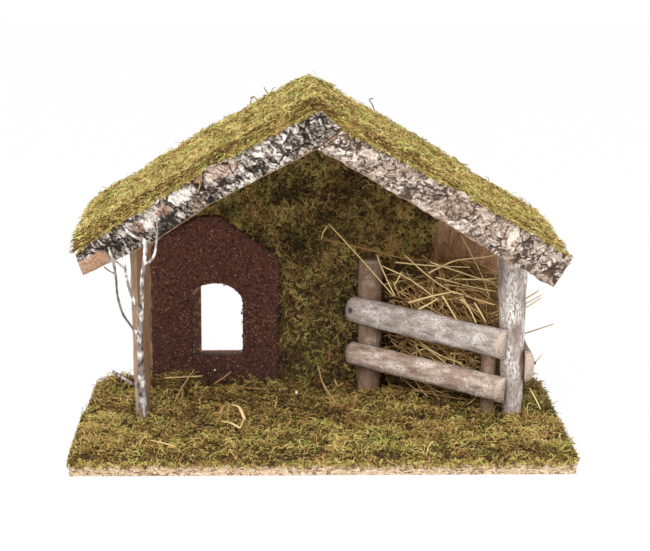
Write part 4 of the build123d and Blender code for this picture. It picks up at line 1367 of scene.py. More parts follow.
cut_end = finish_material("cut_end", cut_end_colour, 0.85, 0.2, 0.0004)
sawn_grain = group_colour(WOOD_GRAIN, pale=tone(168, 132, 100), dark=tone(108, 78, 56),
                          stretch=(300.0, 300.0, 45.0), spread=0.5)
sawn_face = finish_material("sawn_face", sawn_grain, 0.85, 0.35, 0.0006)
print("finishes:", cut_end.name, sawn_face.name)

# %% [markdown]
# ## Bark boards along the roof edge
# The roof's front edge is dressed with two slabs of birch-like bark. Such bark is layered: plates of
# different height with dark cracks between them, broken into small slanted flakes, white outside,
# grey below and warm brown where the skin is gone. A bump map would keep the outline smooth, so
# plates and flakes are nearest-seed cells in the mesh itself. Patches that stand out on the real
# boards are listed one by one.

# %% Cells and patches of bark
def cell_field(rng, spot, pitch, turn):
    """Cells of about one pitch, turned: each point's cell, its border and way, and the cell count."""
    lean = np.array([[math.cos(turn), -math.sin(turn)], [math.sin(turn), math.cos(turn)]])
    turned = spot @ lean / np.array(pitch)
    low, high = turned.min(axis=0) - 1, turned.max(axis=0) + 1
    seeds = low + (high - low) * rng.random((int(np.prod(high - low)), 2))
    cell, gap = nearest_cells(turned, seeds)
    return cell, gap, turned - seeds[cell], len(seeds)


def drifts(flat, cell, seed):
    """Two fields of noise side by side, to move points along and across."""
    return join(lumps(flat, cell, seed), lumps(flat, cell, seed + 1))


def hand_patches(flat, patches, seed):
    """Tone shifts, bare marks and calm marks of the patches placed by hand."""
    warp = 1.5 * drifts(flat, 3.0, seed)
    shift, bare, calm = np.zeros((3, len(flat)))
    for along, across, long_half, high_half, tone_shift, warm in patches:
        reach = np.linalg.norm((flat + warp - (along, across)) / (long_half, high_half), axis=1)
        share = np.clip(3.0 * (1.15 - reach), 0, 1)
        shift += tone_shift * share
        bare = np.maximum(bare, warm * share)
        calm = np.maximum(calm, 0.6 * share * (tone_shift > 0.15))
    return shift, bare, calm


print("noise moves the first point by", np.round(drifts(np.zeros((1, 2)), 4.0, 71), 2))

# %% Bark relief
PLATE_TURN = 0.5


def bark_relief(flat, seed, patches, plate, flake, flake_turn, bare_share, rim):
    """Height, flake tone, bare mark and crack mark for points in mm along and across the bark."""
    rng = np.random.default_rng(seed)
    spot = flat + 1.4 * drifts(flat, 4.0, seed + 1) + 0.45 * drifts(flat, 1.2, seed + 3)
    shift, bare, calm = hand_patches(flat, patches, seed + 6)
    plate_of, plate_gap, plate_off, plates = cell_field(rng, spot, plate, PLATE_TURN)
    flake_of, flake_gap, flake_off, flakes = cell_field(rng, spot, flake, flake_turn)
    plate_level, flake_level = rng.random(plates)[plate_of], rng.random(flakes)[flake_of]
    lean = (0.5 * rng.normal(size=(plates, 2))[plate_of] * plate_off).sum(axis=1)
    curl = (0.45 * rng.normal(size=(flakes, 2))[flake_of] * flake_off).sum(axis=1)
    bare = np.maximum(bare, 0.42 * (rng.random(plates) < bare_share)[plate_of])
    crack = np.clip(1 - plate_gap / 0.12, 0, 1) * (lumps(flat, 9.0, seed + 5) > -0.2) * (1 - calm)
    border = rim * np.clip(1 - flake_gap / 0.3, 0, 1) * (1 - 0.8 * calm)
    busy = (1 - 0.75 * calm) * (1 - 0.4 * bare)
    rough = busy * (0.9 * flake_level + curl - 0.4 * border)
    height = 1.3 * plate_level + lean + rough - 1.4 * crack
    mottle = busy * (0.68 * (flake_level - 0.5) + 0.3 * curl - 0.32 * border)
    shade = 0.47 + 0.3 * (plate_level - 0.5) + mottle
    return height, np.clip(shade + shift, 0, 1), bare, crack


print("plates are turned by", round(math.degrees(PLATE_TURN)), "degrees")

# %% Bark finishes
left_colour = group_colour(BARK_FLAKES, fissure=tone(32, 22, 15), inner=tone(186, 146, 116),
                           grey=tone(140, 126, 114), white=tone(223, 215, 207))
right_colour = group_colour(BARK_FLAKES, fissure=tone(76, 59, 47), inner=tone(190, 156, 130),
                            grey=tone(162, 143, 128), white=tone(228, 217, 206))
edge_grain = group_colour(WOOD_GRAIN, pale=tone(214, 178, 142), dark=tone(146, 108, 82),
                          stretch=(120.0, 300.0, 120.0), spread=0.5)
left_bark = finish_material("left_bark", left_colour, 0.85, 0.5, 0.0005)
right_bark = finish_material("right_bark", right_colour, 0.8, 0.5, 0.0005)
bark_edge = finish_material("bark_edge", edge_grain, 0.85, 0.3, 0.0005)
print("finishes:", left_bark.name, right_bark.name, bark_edge.name)

# %% Places on a bark board
BARGE_BACK_Y = -47.0
LEFT_BOARD = {"start": (-159.26, 140.71), "angle": 30.5, "size": (182.5, 20.0)}
RIGHT_BOARD = {"start": (11.94, 221.65), "angle": -28.8, "size": (172.0, 22.0)}


def board_line(board, shares):
    """A line in mm along and across a board, from shares of its length and width."""
    return np.array(shares) * board["size"]


def board_point(board, flat, out):
    """Points from mm along and across a board, and mm out from its back."""
    turn = math.radians(board["angle"])
    x = board["start"][0] + flat[..., 0] * math.cos(turn) - flat[..., 1] * math.sin(turn)
    z = board["start"][1] + flat[..., 0] * math.sin(turn) + flat[..., 1] * math.cos(turn)
    return join(x, BARGE_BACK_Y - out, z)


def ragged_edge(line, share, shift, rough, seed):
    """Points along a line, moved across it by noise. The shift picks another stretch of noise."""
    along = line[0, 0] + share * (line[-1, 0] - line[0, 0])
    spot = join(along, shift, 0.0)
    wobble = 0.6 * lumps(spot, 2.2, seed) + lumps(spot, 6.0, seed + 9)
    return join(along, np.interp(along, line[:, 0], line[:, 1]) + rough * wobble)


print("bark boards of", LEFT_BOARD["size"], "and", RIGHT_BOARD["size"], "mm")

# %% Bark board
ROW_STEP, FACE_COLUMNS, BACK_COLUMNS, EDGE_COLUMNS = 0.45, 46, 7, 2
BACK_GAP, LOW_SHIFT = 0.3, 50


def whole_mark(part, fill):
    """A mark of the face, filled up for the back and the two end points."""
    padded = np.pad(part, ((0, 0), (0, BACK_COLUMNS)), constant_values=fill)
    return np.append(padded.ravel(), [fill, fill])


def bark_board(name, node, board, top_line, low_line, ragged, seed, material, **relief):
    """A bark slab between its upper and lower line, with relief on its face and a plain back."""
    reach = np.ptp(top_line[:, 0])
    rows = int(reach / ROW_STEP)
    share, down = np.linspace(0, 1, rows), np.linspace(0, 1, FACE_COLUMNS)
    top = ragged_edge(top_line, share, 0, ragged[0], seed)
    low = ragged_edge(low_line, share, LOW_SHIFT, ragged[1], seed)
    face = top[:, None] + (low - top)[:, None] * down[None, :, None]
    made = bark_relief(face.reshape(-1, 2), seed, **relief)
    height, flake, bare, crack = [part.reshape(rows, FACE_COLUMNS) for part in made]
    crown = np.sin(math.pi * down)[None] ** 0.55
    ends = np.clip(np.minimum(share, 1 - share) * reach / 3.0, 0, 1)[:, None] ** 0.5
    depth = 5.0 + 2.2 * crown * (0.6 + 0.4 * ends) + height * (0.35 + 0.65 * crown)
    up = np.linspace(0.02, 0.98, BACK_COLUMNS)
    rear = low[:, None] + (top - low)[:, None] * up[None, :, None]
    depth = np.concatenate([depth, np.full((rows, BACK_COLUMNS), BACK_GAP)], axis=1)
    sections = board_point(board, np.concatenate([face, rear], axis=1), depth)
    points, faces, _, column = long_skin(sections)
    marks = {"flake": whole_mark(flake, 0.5), "bare": whole_mark(bare, 1.0),
             "crack": whole_mark(crack, 0.0)}
    plain = (column >= FACE_COLUMNS - EDGE_COLUMNS).astype(int)
    slots = np.append(plain, np.ones(len(faces[1]), int))
    return make_piece(name, points, faces, [material, bark_edge], node, slots=slots,
                      marks=marks)


print("a bark board has a row of points every", ROW_STEP, "mm")

# %% Left bark board
LEFT_LOW = board_line(LEFT_BOARD, [(-0.026, -0.72), (0.1, -0.82), (0.235, -0.94), (0.51, -0.81),
                                   (0.72, -0.9), (0.92, -0.995), (1.033, -0.84)])
LEFT_TOP = board_line(LEFT_BOARD, [(-0.01, 0.0), (0.12, 0.13), (0.3, 0.17), (0.45, 0.22),
                                   (0.62, 0.27), (0.8, 0.14), (0.95, 0.08), (1.0, 0.0)])
# each patch: mm along and across, its half sizes, its shift of tone, and how bare it is
LEFT_PATCHES = [
    (35, -8, 45, 18, -0.04, 0.12), (78, -1, 9, 5, 0.17, 0), (52, -2, 6, 6, 0.17, 0),
    (30, -1, 8, 4, 0.1, 0), (112, -1, 9, 6, 0.15, 0.55), (63, -4, 6, 3, 0, 0.6),
    (5, -11, 14, 6, 0.2, 0.9), (42, -6, 4, 5, -0.1, 0.55), (97, -8, 9, 2, -0.4, 0),
    (66, -13, 17, 5, -0.22, 0), (34, -10, 12, 5, -0.15, 0), (137, -2, 5, 4, 0.15, 0),
    (121, -10, 7, 2, -0.3, 0.3), (92, 2, 5, 4, 0.05, 0.75),
]
bark_board("left_bark_board", "left_barge_board", LEFT_BOARD, LEFT_TOP, LEFT_LOW, (0.9, 0.25), 71,
           left_bark, patches=LEFT_PATCHES, plate=(13.0, 7.5), flake=(1.6, 3.6), flake_turn=0.35,
           bare_share=0.12, rim=1.0)

# %% Right bark board
RIGHT_LOW = board_line(RIGHT_BOARD, [(-0.048, -0.87), (0.1, -0.88), (0.27, -0.93), (0.54, -0.97),
                                     (0.8, -1.1), (1.0, -1.1)])
RIGHT_TOP = board_line(RIGHT_BOARD, [(0.0, 0.0), (0.3, 0.03), (0.6, 0.05), (0.85, 0.0),
                                     (1.004, -0.03)])
RIGHT_PATCHES = [
    (90, -10, 100, 20, -0.05, 0.0), (30, -6, 15, 4, 0.14, 0.3), (131, -8, 2, 9, 0.3, 0),
    (165, -13, 2, 5, -0.6, 0), (141, -19, 2, 4, -0.5, 0), (67, -18, 5, 2, 0.2, 0),
    (115, -13, 7, 3, 0.05, 0.4), (13, -18, 9, 3, -0.05, 0.45), (80, -12, 14, 4, -0.1, 0),
]
bark_board("right_bark_board", "right_barge_board", RIGHT_BOARD, RIGHT_TOP, RIGHT_LOW, (0.9, 0.8), 81,
           right_bark, patches=RIGHT_PATCHES, plate=(12.0, 8.0), flake=(2.3, 1.15), flake_turn=0.5,
           bare_share=0.3, rim=0.35)

# %% Moss over the bark
def build_spill(name, board, line, seed, count):
    """Sprigs that creep from the roof over a bark board's upper edge, here and there."""
    rng = np.random.default_rng(seed)
    tries = 4 * count
    along = line[0, 0] + (0.02 + 0.96 * rng.random(tries)) * (line[-1, 0] - line[0, 0])
    thick = lumps(join(along, 0.0, 0.0), 9.0, seed)
    along = along[rng.random(tries) < 0.25 + 0.9 * thick][:count]
    count = len(along)
    across = np.interp(along, line[:, 0], line[:, 1]) + 0.6
    out = 1.0 + 7.0 * rng.random(count)
    roots = board_point(board, join(along, across), out)
    turn = math.radians(board["angle"])
    normal = np.array([-math.sin(turn), 0.0, math.cos(turn)])
    ahead = np.array([math.cos(turn), 0.0, math.sin(turn)])
    swing = 0.8 * rng.normal(size=count)
    headings = np.sin(swing)[:, None] * ahead + np.cos(swing)[:, None] * np.array(TO_FRONT)
    headings = unit(headings - (0.1 * out * rng.random(count))[:, None] * normal)
    lengths = 2.6 + 2.6 * rng.random(count)
    rise = np.abs(0.2 + 0.2 * rng.normal(size=count))
    curl = rng.normal(size=count)
    tint = 0.45 + 0.1 * rng.normal(size=count)
    dry = 0.4 * rng.normal(size=count)
    moss_sprigs(name, rng, roots, headings, normal, lengths, rise, curl, tint, dry, roof_moss)


build_spill("left_bark_spill", LEFT_BOARD, LEFT_TOP, 86, 700)
build_spill("right_bark_spill", RIGHT_BOARD, RIGHT_TOP, 87, 500)

# %% [markdown]
# ## Posts and rails
# Posts and rails are thin logs. The left post was split: its bark side is beige, its sawn side
# brown. The right post is a round, greyish log that widens upwards, speckled with white. The rails
# are half logs with pale cut ends. Scaled copies of one log would show the same waves everywhere,
# so each gets its own seed and a wavy skin that runs along the grain.

# %% Log finishes
def log_colour(ground, streak, wash, wash_share, along, wash_scale=140.0, wash_stretch=(1.0, 1.0, 1.0)):
    """A colour maker for thin bark: streaks, a broken white wash, fine dark pits and knots."""
    knot_tone = tuple(0.4 * part for part in streak[:3]) + (1.0,)

    def maker(tree):
        made = use_group(tree, WOOD_GRAIN, pale=ground, dark=streak, stretch=along, spread=0.45)
        broken = use_group(tree, SPECKLE, scale=800.0, threshold=0.36, softness=0.2,
                           stretch=wash_stretch)
        patch = use_group(tree, SPECKLE, scale=wash_scale, threshold=0.62 - 0.3 * wash_share,
                          softness=0.3, stretch=wash_stretch)
        white = sums(tree, "MULTIPLY", broken["Mask"], patch["Mask"])
        washed = mix(tree, white, made["Color"], wash)
        pits = use_group(tree, SPECKLE, ground=washed, speck=streak,
                         scale=900.0, threshold=0.6, softness=0.07)
        knot = mix(tree, spread(tree, mark(tree, "knot"), 0.15, 0.9), pits["Color"], knot_tone)
        rusty = sums(tree, "MULTIPLY", mark(tree, "warm"), patch["Mask"])
        warm = mix(tree, rusty, knot, tone(158, 112, 84), "MULTIPLY")
        return {"colour": warm, "height": sums(tree, "ADD", made["Height"], pits["Mask"])}
    return maker


def thin_bark(name, bump, ground, streak, wash, *given):
    """A finish of thin bark, from three colours and how streaks and wash lie."""
    colour = log_colour(tone(*ground), tone(*streak), tone(*wash), *given)
    return finish_material(name, colour, 0.8, bump, 0.0006)


ALONG_RAIL, RAIL_WASH = (40.0, 40.0, 260.0), (90.0, (1.0, 1.0, 2.2))
beige_bark = thin_bark("beige_bark", 0.4, (196, 164, 132), (138, 106, 84), (214, 196, 174),
                       0.4, (260.0, 260.0, 60.0))
white_bark = thin_bark("white_bark", 0.4, (180, 162, 149), (116, 97, 86), (246, 240, 235),
                       0.85, (300.0, 300.0, 60.0), 110.0, (1.0, 1.0, 0.4))
grey_bark = thin_bark("grey_bark", 0.35, (196, 182, 172), (118, 100, 88), (240, 233, 229),
                      0.85, ALONG_RAIL, *RAIL_WASH)
tan_bark = thin_bark("tan_bark", 0.35, (204, 178, 158), (104, 78, 60), (242, 230, 220),
                     0.75, ALONG_RAIL, *RAIL_WASH)
brown_bark = thin_bark("brown_bark", 0.4, (160, 130, 104), (98, 74, 58), (184, 166, 150),
                       0.5, (200.0, 200.0, 40.0))
print("log finishes from", beige_bark.name, "to", brown_bark.name)

# %% Section of a post
def post_section(turn, flat_turn=None):
    """A round section, or one with a flat side that looks along the flat turn: x, y and bark."""
    if flat_turn is None:
        return np.cos(turn), np.sin(turn), np.ones(turn.shape, bool)
    lean = math.radians(flat_turn)
    out, side = np.cos(turn - lean), np.sin(turn - lean)
    skin = out < 0.02
    out = np.minimum(out, 0)
    side = np.where(skin, side, np.sign(side) * np.minimum(np.abs(side), 1) ** 0.8)
    x = out * math.cos(lean) - side * math.sin(lean)
    y = out * math.sin(lean) + side * math.cos(lean)
    return x, y, skin


print("bark on the flat side of a split log:", post_section(np.zeros(1), 0)[2])

# %% Standing posts
POST_ROWS, POST_COLUMNS, POST_GIRTH = 150, 72, 8


def standing_post(name, node, foot, top, radii, bark, seed, flat_turn=None, rough=0.35,
                  under_roof=False):
    """A post from foot to top, round or split, and cut to the soffit if it carries the roof."""
    share = np.linspace(0, 1, POST_ROWS)[:, None]
    turn = np.linspace(0, 2 * math.pi, POST_COLUMNS, endpoint=False)[None, :]
    round_x, round_y, skin = post_section(turn, flat_turn)
    middle = np.array(foot)[None] + share * (np.array(top) - np.array(foot))[None]
    height = middle[:, 2:3]
    grain = join(POST_GIRTH * round_x, POST_GIRTH * round_y, 0.3 * height)
    waves = join(POST_GIRTH * round_x, POST_GIRTH * round_y, height)
    relief = rough * lumps(grain, 3.0, seed) + 0.8 * rough * lumps(waves, 9.0, seed + 1)
    radius = radii[0] + share * (radii[1] - radii[0]) + 0 * turn
    radius = radius + np.where(skin, relief, 0)
    x, y = middle[:, :1] + radius * round_x, middle[:, 1:2] + radius * round_y
    z = np.broadcast_to(height, x.shape)
    if under_roof:
        z = np.minimum(z, soffit_height(x) - 0.1 - 0.02 * np.arange(POST_ROWS)[::-1, None])
    points, faces, ring, column = long_skin(join(x, y, z))
    slots = np.append(np.where(skin[0][column], 0, 1), np.full(len(faces[1]), 2))
    return make_piece(name, points, faces, [bark, sawn_face, cut_end], node, slots=slots,
                      marks={"ring": ring})


standing_post("left_split_post", "left_post", (-121, -1, 8.1), (-121, -1, 164),
              (6.8, 9.2), beige_bark, 91, flat_turn=-25, under_roof=True)
standing_post("right_round_post", "right_post", (133.9, 5, 8.1), (130.8, 5, 152.4),
              (6.8, 11.3), white_bark, 92, rough=0.45, under_roof=True)
standing_post("rear_short_post", "rear_manger_post", (37, 57, 8.1), (37, 57, 110),
              (8.3, 8.6), brown_bark, 93)
standing_post("front_short_post", "front_manger_post", (117.2, 7.7, 8.1),
              (117.2, 7.7, 68), (4.9, 5.0), brown_bark, 94)

# %% Bumps of a rail
RAIL_ROWS, RAIL_ARC, RAIL_FLAT = 200, 48, 14
RAIL_GIRTH, KNOT_GIRTH = 9, 9.5


def rail_bumps(length, share, turn, seed, knots):
    """Waves and knots of a half log's round side: how far they stand out, and how dark they are."""
    around = RAIL_GIRTH * np.sin(turn), RAIL_GIRTH * np.cos(turn)
    grain, waves = join(length * share * 0.25, *around), join(length * share, *around)
    bulge = 0.22 * lumps(grain, 2.6, seed) + 0.7 * lumps(waves, 16.0, seed + 1)
    dark = np.zeros((RAIL_ROWS, RAIL_ARC))
    for knot_share, knot_turn, size, rise, depth in knots:
        reach = np.hypot(length * (share - knot_share), KNOT_GIRTH * (turn - knot_turn)) / size
        bulge = bulge + rise * np.exp(-reach ** 2 / 2)
        dark = np.maximum(dark, depth * np.clip(1.6 - 1.6 * reach, 0, 1))
    return bulge, dark


print("points around a rail:", RAIL_ARC + RAIL_FLAT)

# %% Half-log rail
END_SLANT, END_REACH, WORN_REACH, WARM_REACH = 0.45, 12.0, 5.0, 14.0


def half_log_rail(name, node, start, end, out, widths, depth, bark, seed, knots=()):
    """A half log from start to end: its flat lies against the posts, its round side looks out."""
    start, end, out = np.array(start, float), np.array(end, float), np.array(out, float)
    full = np.linalg.norm(end - start)
    run = (end - start) / full
    rise = np.cross(out, run)
    rise *= np.sign(rise[2]) or 1
    share = np.linspace(0, 1, RAIL_ROWS)[:, None]
    turn = np.linspace(-math.pi / 2, math.pi / 2, RAIL_ARC)[None, :]
    bulge, knot = rail_bumps(full, share, turn, seed, knots)
    worn = np.sqrt(1 - np.clip(1 - full * share / WORN_REACH, 0, 1) ** 2 * 0.75)
    half = (widths[0] + share * (widths[1] - widths[0])) / 2
    up = worn * (half + 0.8 * bulge) * np.sign(np.sin(turn)) * np.abs(np.sin(turn)) ** 0.85
    outward = 0.1 + worn * (depth - 0.1 + bulge) * np.cos(turn) ** 0.7
    back_share = np.linspace(0, 1, RAIL_FLAT + 2)[None, 1:-1]
    up = np.concatenate([up, up[:, -1:] + (up[:, :1] - up[:, -1:]) * back_share], axis=1)
    outward = np.concatenate([outward, np.full((RAIL_ROWS, RAIL_FLAT), 0.05)], axis=1)
    knot = np.concatenate([knot, np.zeros((RAIL_ROWS, RAIL_FLAT))], axis=1)
    kinds = np.concatenate([np.zeros(RAIL_ARC - 1, int), np.ones(RAIL_FLAT + 1, int)])
    up, outward, station = up[..., None], outward[..., None], share[..., None]
    slant = END_SLANT * outward * np.clip(1 - full * (1 - station) / END_REACH, 0, 1) * run
    sections = start + station * (end - start) + up * rise + outward * out - slant
    if np.dot(np.cross(rise, out), run) > 0:
        sections, knot = sections[:, ::-1], knot[:, ::-1]
        kinds = np.roll(kinds[::-1], -1)
    points, faces, ring, column = long_skin(sections)
    slots = np.append(kinds[column], np.full(len(faces[1]), 2))
    warm = np.clip(1.2 - full * share / WARM_REACH, 0, 1) + 0 * knot
    marks = {"ring": ring, "knot": np.append(knot, [0, 0]), "warm": np.append(warm, [0, 0])}
    return make_piece(name, points, faces, [bark, sawn_face, cut_end], node,
                      slots=slots, marks=marks)


print("a rail's end is cut at a slant of", END_SLANT)

# %% Rails
RAIL_LEFT, RAIL_RIGHT, RAIL_FALL = -13.0, PEN_SPAN + 15.0, 11.0
UPPER_Z, LOWER_Z = 76.0, 43.5
# each knot: its share of the length, its turn, its size, its rise and how dark it is
UPPER_KNOTS = [(0.05, 0.1, 2.6, 0.6, 1.0), (0.5, 1.3, 6.0, 1.6, 0.0), (0.62, 0.2, 1.0, 0.2, 0.6)]
LOWER_KNOTS = [(0.08, 0.1, 1.0, 0.0, 0.9), (0.24, 0.5, 0.8, 0.0, 0.7), (0.45, 0.7, 5.0, 0.9, 0.3)]


def pen_point(station, height):
    """A point on the line of the pen, on the posts' front."""
    return PEN_START + PEN_ALONG * station + UP * height


half_log_rail("upper_half_rail", "upper_rail", pen_point(RAIL_LEFT, UPPER_Z),
              pen_point(RAIL_RIGHT, UPPER_Z - RAIL_FALL), PEN_OUT, (19.0, 20.5), 9.0,
              grey_bark, 101, knots=UPPER_KNOTS)
half_log_rail("lower_half_rail", "lower_rail", pen_point(RAIL_LEFT, LOWER_Z),
              pen_point(RAIL_RIGHT, LOWER_Z - RAIL_FALL), PEN_OUT, (16.0, 18.5), 9.0,
              tan_bark, 103, knots=LOWER_KNOTS)
half_log_rail("side_half_rail", "side_rail", (141.0, 82.0, 49.0), (141.0, -4.0, 49.0), (1, 0, 0),
              (22.0, 22.0), 6.6, brown_bark, 105)

# %% [markdown]
# ## Twig
# A bare twig stands by the left post and leans out in front of the bark board, like a little tree.
# Tubes that merely run into each other would show their seams at the forks. So each limb is a
# smooth path with many rings, and a voxel remesh melts the limbs into one skin that looks grown. A
# little noise makes the bark uneven, and white lichen covers it in patches.

# %% Limbs of the twig
# each point: x, y, z and the limb's radius there
TWIG_LIMBS = {
    "trunk": ((-121.8, -14, 8, 4.1), (-121.7, -14, 18.2, 3.9), (-122.0, -20.3, 40.9, 3.5),
              (-121.8, -28.2, 61.5, 2.9),
              (-121.4, -34.9, 78.7, 2.4), (-120.1, -40.4, 92.5, 1.9), (-118.7, -47.2, 107.9, 1.7),
              (-117.9, -54.6, 123.2, 1.6), (-116.1, -59.5, 135, 1.6)),
    "right": ((-116.1, -59.5, 135, 1.4), (-111.5, -59.5, 137.4, 1.2), (-108.5, -59.6, 144.3, 1.1),
              (-107.3, -59.8, 156.9, 0.9), (-107.8, -60, 167.4, 0.7)),
    "left_fork": ((-116.1, -59.5, 135, 1.5), (-115.2, -59.7, 149.0, 2.0), (-122.1, -59.8, 153.3, 1.2),
                  (-128.1, -59.8, 158.5, 0.9)),
    "left_branch": ((-121.4, -34.9, 78.7, 1.4), (-126.3, -38.3, 87.2, 1.1), (-131.7, -42.2, 97.1, 1.0),
                    (-134.3, -48, 109.5, 1.0), (-134.7, -54.6, 123.2, 1.0), (-135.4, -59.5, 135.1, 1.1),
                    (-138.9, -59.7, 146.3, 1.0)),
    "side": ((-135.1, -56.9, 127.8, 0.8), (-138.4, -57.9, 130.0, 0.7), (-141.9, -58.7, 132.9, 0.5)),
    "middle": ((-120, -41, 94.1, 1.4), (-123.9, -46.9, 107.2, 1.3), (-127.1, -53.1, 120.2, 1.2),
               (-128.4, -58.5, 132.2, 1.1), (-129.7, -59.6, 144.3, 1.0)),
    "cross": ((-128.7, -58.5, 132.2, 0.9), (-133.0, -59.2, 136.0, 0.8), (-137.2, -59.6, 140.4, 0.7)),
    "stub": ((-121.1, -19.4, 38.5, 1.5), (-131, -21.9, 44.9, 1.3), (-141.3, -24.9, 52.9, 1.5)),
}


def smooth_path(points, count):
    """A smooth path through points, by cubic blending of neighbours."""
    points = np.asarray(points, float)
    padded = np.concatenate([2 * points[:1] - points[1:2], points, 2 * points[-1:] - points[-2:-1]])
    place_at = np.linspace(0, len(points) - 1, count)
    step = np.minimum(place_at.astype(int), len(points) - 2)
    share = (place_at - step)[:, None]
    a, b, c, d = (padded[step + shift] for shift in range(4))
    return 0.5 * (2 * b + (c - a) * share + (2 * a - 5 * b + 4 * c - d) * share ** 2
                  + (3 * b - a - 3 * c + d) * share ** 3)


print("limbs of the twig:", ", ".join(TWIG_LIMBS))

# %% Twig finish
def twig_colour(tree):
    """Grey-brown bark with long white lichen, less of it at the foot, and a shaded part."""
    bark = use_group(tree, SPECKLE, ground=tone(146, 134, 127), speck=tone(74, 62, 56),
                     scale=420.0, threshold=0.54, softness=0.08, stretch=(1.0, 1.0, 0.4))
    cover = spread(tree, own_height(tree), 0.02, 0.05, 0.6, 0.5)
    lichen = use_group(tree, SPECKLE, ground=bark["Color"], speck=tone(240, 236, 232),
                       scale=230.0, threshold=cover, softness=0.12, stretch=(1.0, 1.0, 0.35))
    shaded = mix(tree, mark(tree, "shade"), lichen["Color"], tone(92, 84, 82))
    return {"colour": shaded, "height": lichen["Mask"]}


twig_bark = finish_material("twig_bark", twig_colour, 0.85, 0.4, 0.0005)
print("finish:", twig_bark.name)

# %% Twig
TWIG_RINGS, TWIG_SIDES, TWIG_VOXEL = 40, 10, 0.0004
# heights, and the x left of which the limbs lie in the shade there
SHADE_HEIGHTS = (76, 78, 90, 98, 110, 125, 140)
SHADE_STARTS = (-170, -122.5, -126, -128.5, -130, -131.5, -132.5)
SHADE_TOP = 139


def mesh_values(values, key, size, kind=float):
    """One kind of value of a mesh's vertices or loops, as rows of an array."""
    read = np.empty(len(values) * size, kind)
    values.foreach_get(key, read)
    return read.reshape(-1, size)


def build_twig():
    """The limbs, melted into one skin, with uneven bark and a mark where they lie in the shade."""
    limbs = np.array([smooth_path(limb, TWIG_RINGS) for limb in TWIG_LIMBS.values()])
    girth = limbs[..., 3] * (0.8 + 0.07 * np.sin(np.arange(TWIG_RINGS) * 2.1))
    points, faces, _ = threads(limbs[..., :3], np.maximum(girth, 0.5), TWIG_SIDES)
    rough = make_piece("rough_twig", points, faces, [twig_bark])
    melt = rough.modifiers.new("melt", "REMESH")
    melt.mode, melt.voxel_size = "VOXEL", TWIG_VOXEL
    melted = rough.evaluated_get(bpy.context.evaluated_depsgraph_get())
    shaped = bpy.data.meshes.new_from_object(melted)
    spots = mesh_values(shaped.vertices, "co", 3) / MM
    normals = mesh_values(shaped.vertices, "normal", 3)
    quads = mesh_values(shaped.loops, "vertex_index", 1, np.int32).reshape(-1, 4)
    bpy.data.objects.remove(rough)
    spots = spots + normals * (0.22 * lumps(spots, (1.6, 1.6, 3.5), 111))[:, None]
    beside = np.interp(spots[:, 2], SHADE_HEIGHTS, SHADE_STARTS) - spots[:, 0]
    shade = 0.8 * np.clip(beside / 1.5, 0, 1) * np.clip((SHADE_TOP - spots[:, 2]) / 8, 0, 1)
    make_piece("bare_twig", spots, [quads], [twig_bark], "twig", marks={"shade": shade})


build_twig()

# %% [markdown]
# ## Hay
# The corner behind the rails is filled with loose hay. A simulation could let stalks fall, but it
# would be slow and hard to repeat. Most stalks lie from the upper left to the lower right, with painted
# shade deeper inside.
# inside. They are drawn at random and kept where they stay behind the rails and clear of the wall.
# The long ones that stick out over the rail and beside the post are listed one by one.

# %% Random stalks
straw = finish_material("straw", group_colour(
    FIBRE_TINT, shade=tone(64, 40, 16), body=tone(178, 138, 82), light=tone(246, 218, 156),
    patch_scale=30.0, patch_share=0.3, tip_share=0.12), 0.8)
HAY_RINGS, HAY_TRIES = 12, 2000
HAY_LEFT, HAY_RIGHT, HAY_BACK, HAY_FLOOR, RAIL_ROOM = 46.5, 140, 70, 13, 1.5
HAY_MIDDLE, HAY_TOP = 85, 101
# the two posts in the corner: x, y and the room around them
HAY_POSTS = ((132.5, 5.0, 11.0), (117.2, 7.7, 6.2))


def behind_rails(points):
    """How far points lie behind the flat backs of the rails."""
    return -((points - PEN_START) * PEN_OUT).sum(axis=-1)


def hay_fits(path):
    """True for stalks that lie behind the rails, in front of the wall and within the heap."""
    x, y, z = path[..., 0], path[..., 1], path[..., 2]
    behind = behind_rails(path)
    heap = HAY_TOP + 0.55 * np.minimum(behind, 45) - 0.4 * np.abs(x - HAY_MIDDLE)
    inside = (behind > RAIL_ROOM) & (y < HAY_BACK) & (z > HAY_FLOOR) & (z < heap)
    inside &= (x > HAY_LEFT) & (x < HAY_RIGHT)
    for post_x, post_y, room in HAY_POSTS:
        inside &= np.hypot(x - post_x, y - post_y) > room
    return inside.all(axis=1)


def random_stalks(rng, count):
    """Bowed stalks within the hay corner, tried in batches and kept where they fit."""
    kept = []
    share = np.linspace(-1, 1, HAY_RINGS)[None, :, None]
    while sum(len(batch) for batch in kept) < count:
        x, y = 48 + 92 * rng.random(HAY_TRIES), 68 * rng.random(HAY_TRIES)
        z = 16 + 98 * rng.random(HAY_TRIES)
        ahead = np.array([0.8, -0.25, -0.4]) + rng.normal(size=(HAY_TRIES, 3)) * (0.45, 0.6, 0.45)
        ahead = unit(ahead)
        bow = unit(np.cross(ahead, rng.normal(size=(HAY_TRIES, 3))))
        half = (9 + 24 * rng.random(HAY_TRIES))[:, None, None]
        sway = (0.3 * rng.normal(size=HAY_TRIES))[:, None, None] * (share ** 2 - 0.4)
        path = join(x, y, z)[:, None] + half * (ahead[:, None] * share + bow[:, None] * sway)
        kept.append(path[hay_fits(path)])
    return np.concatenate(kept)[:count]


print("stalks are tried in batches of", HAY_TRIES)

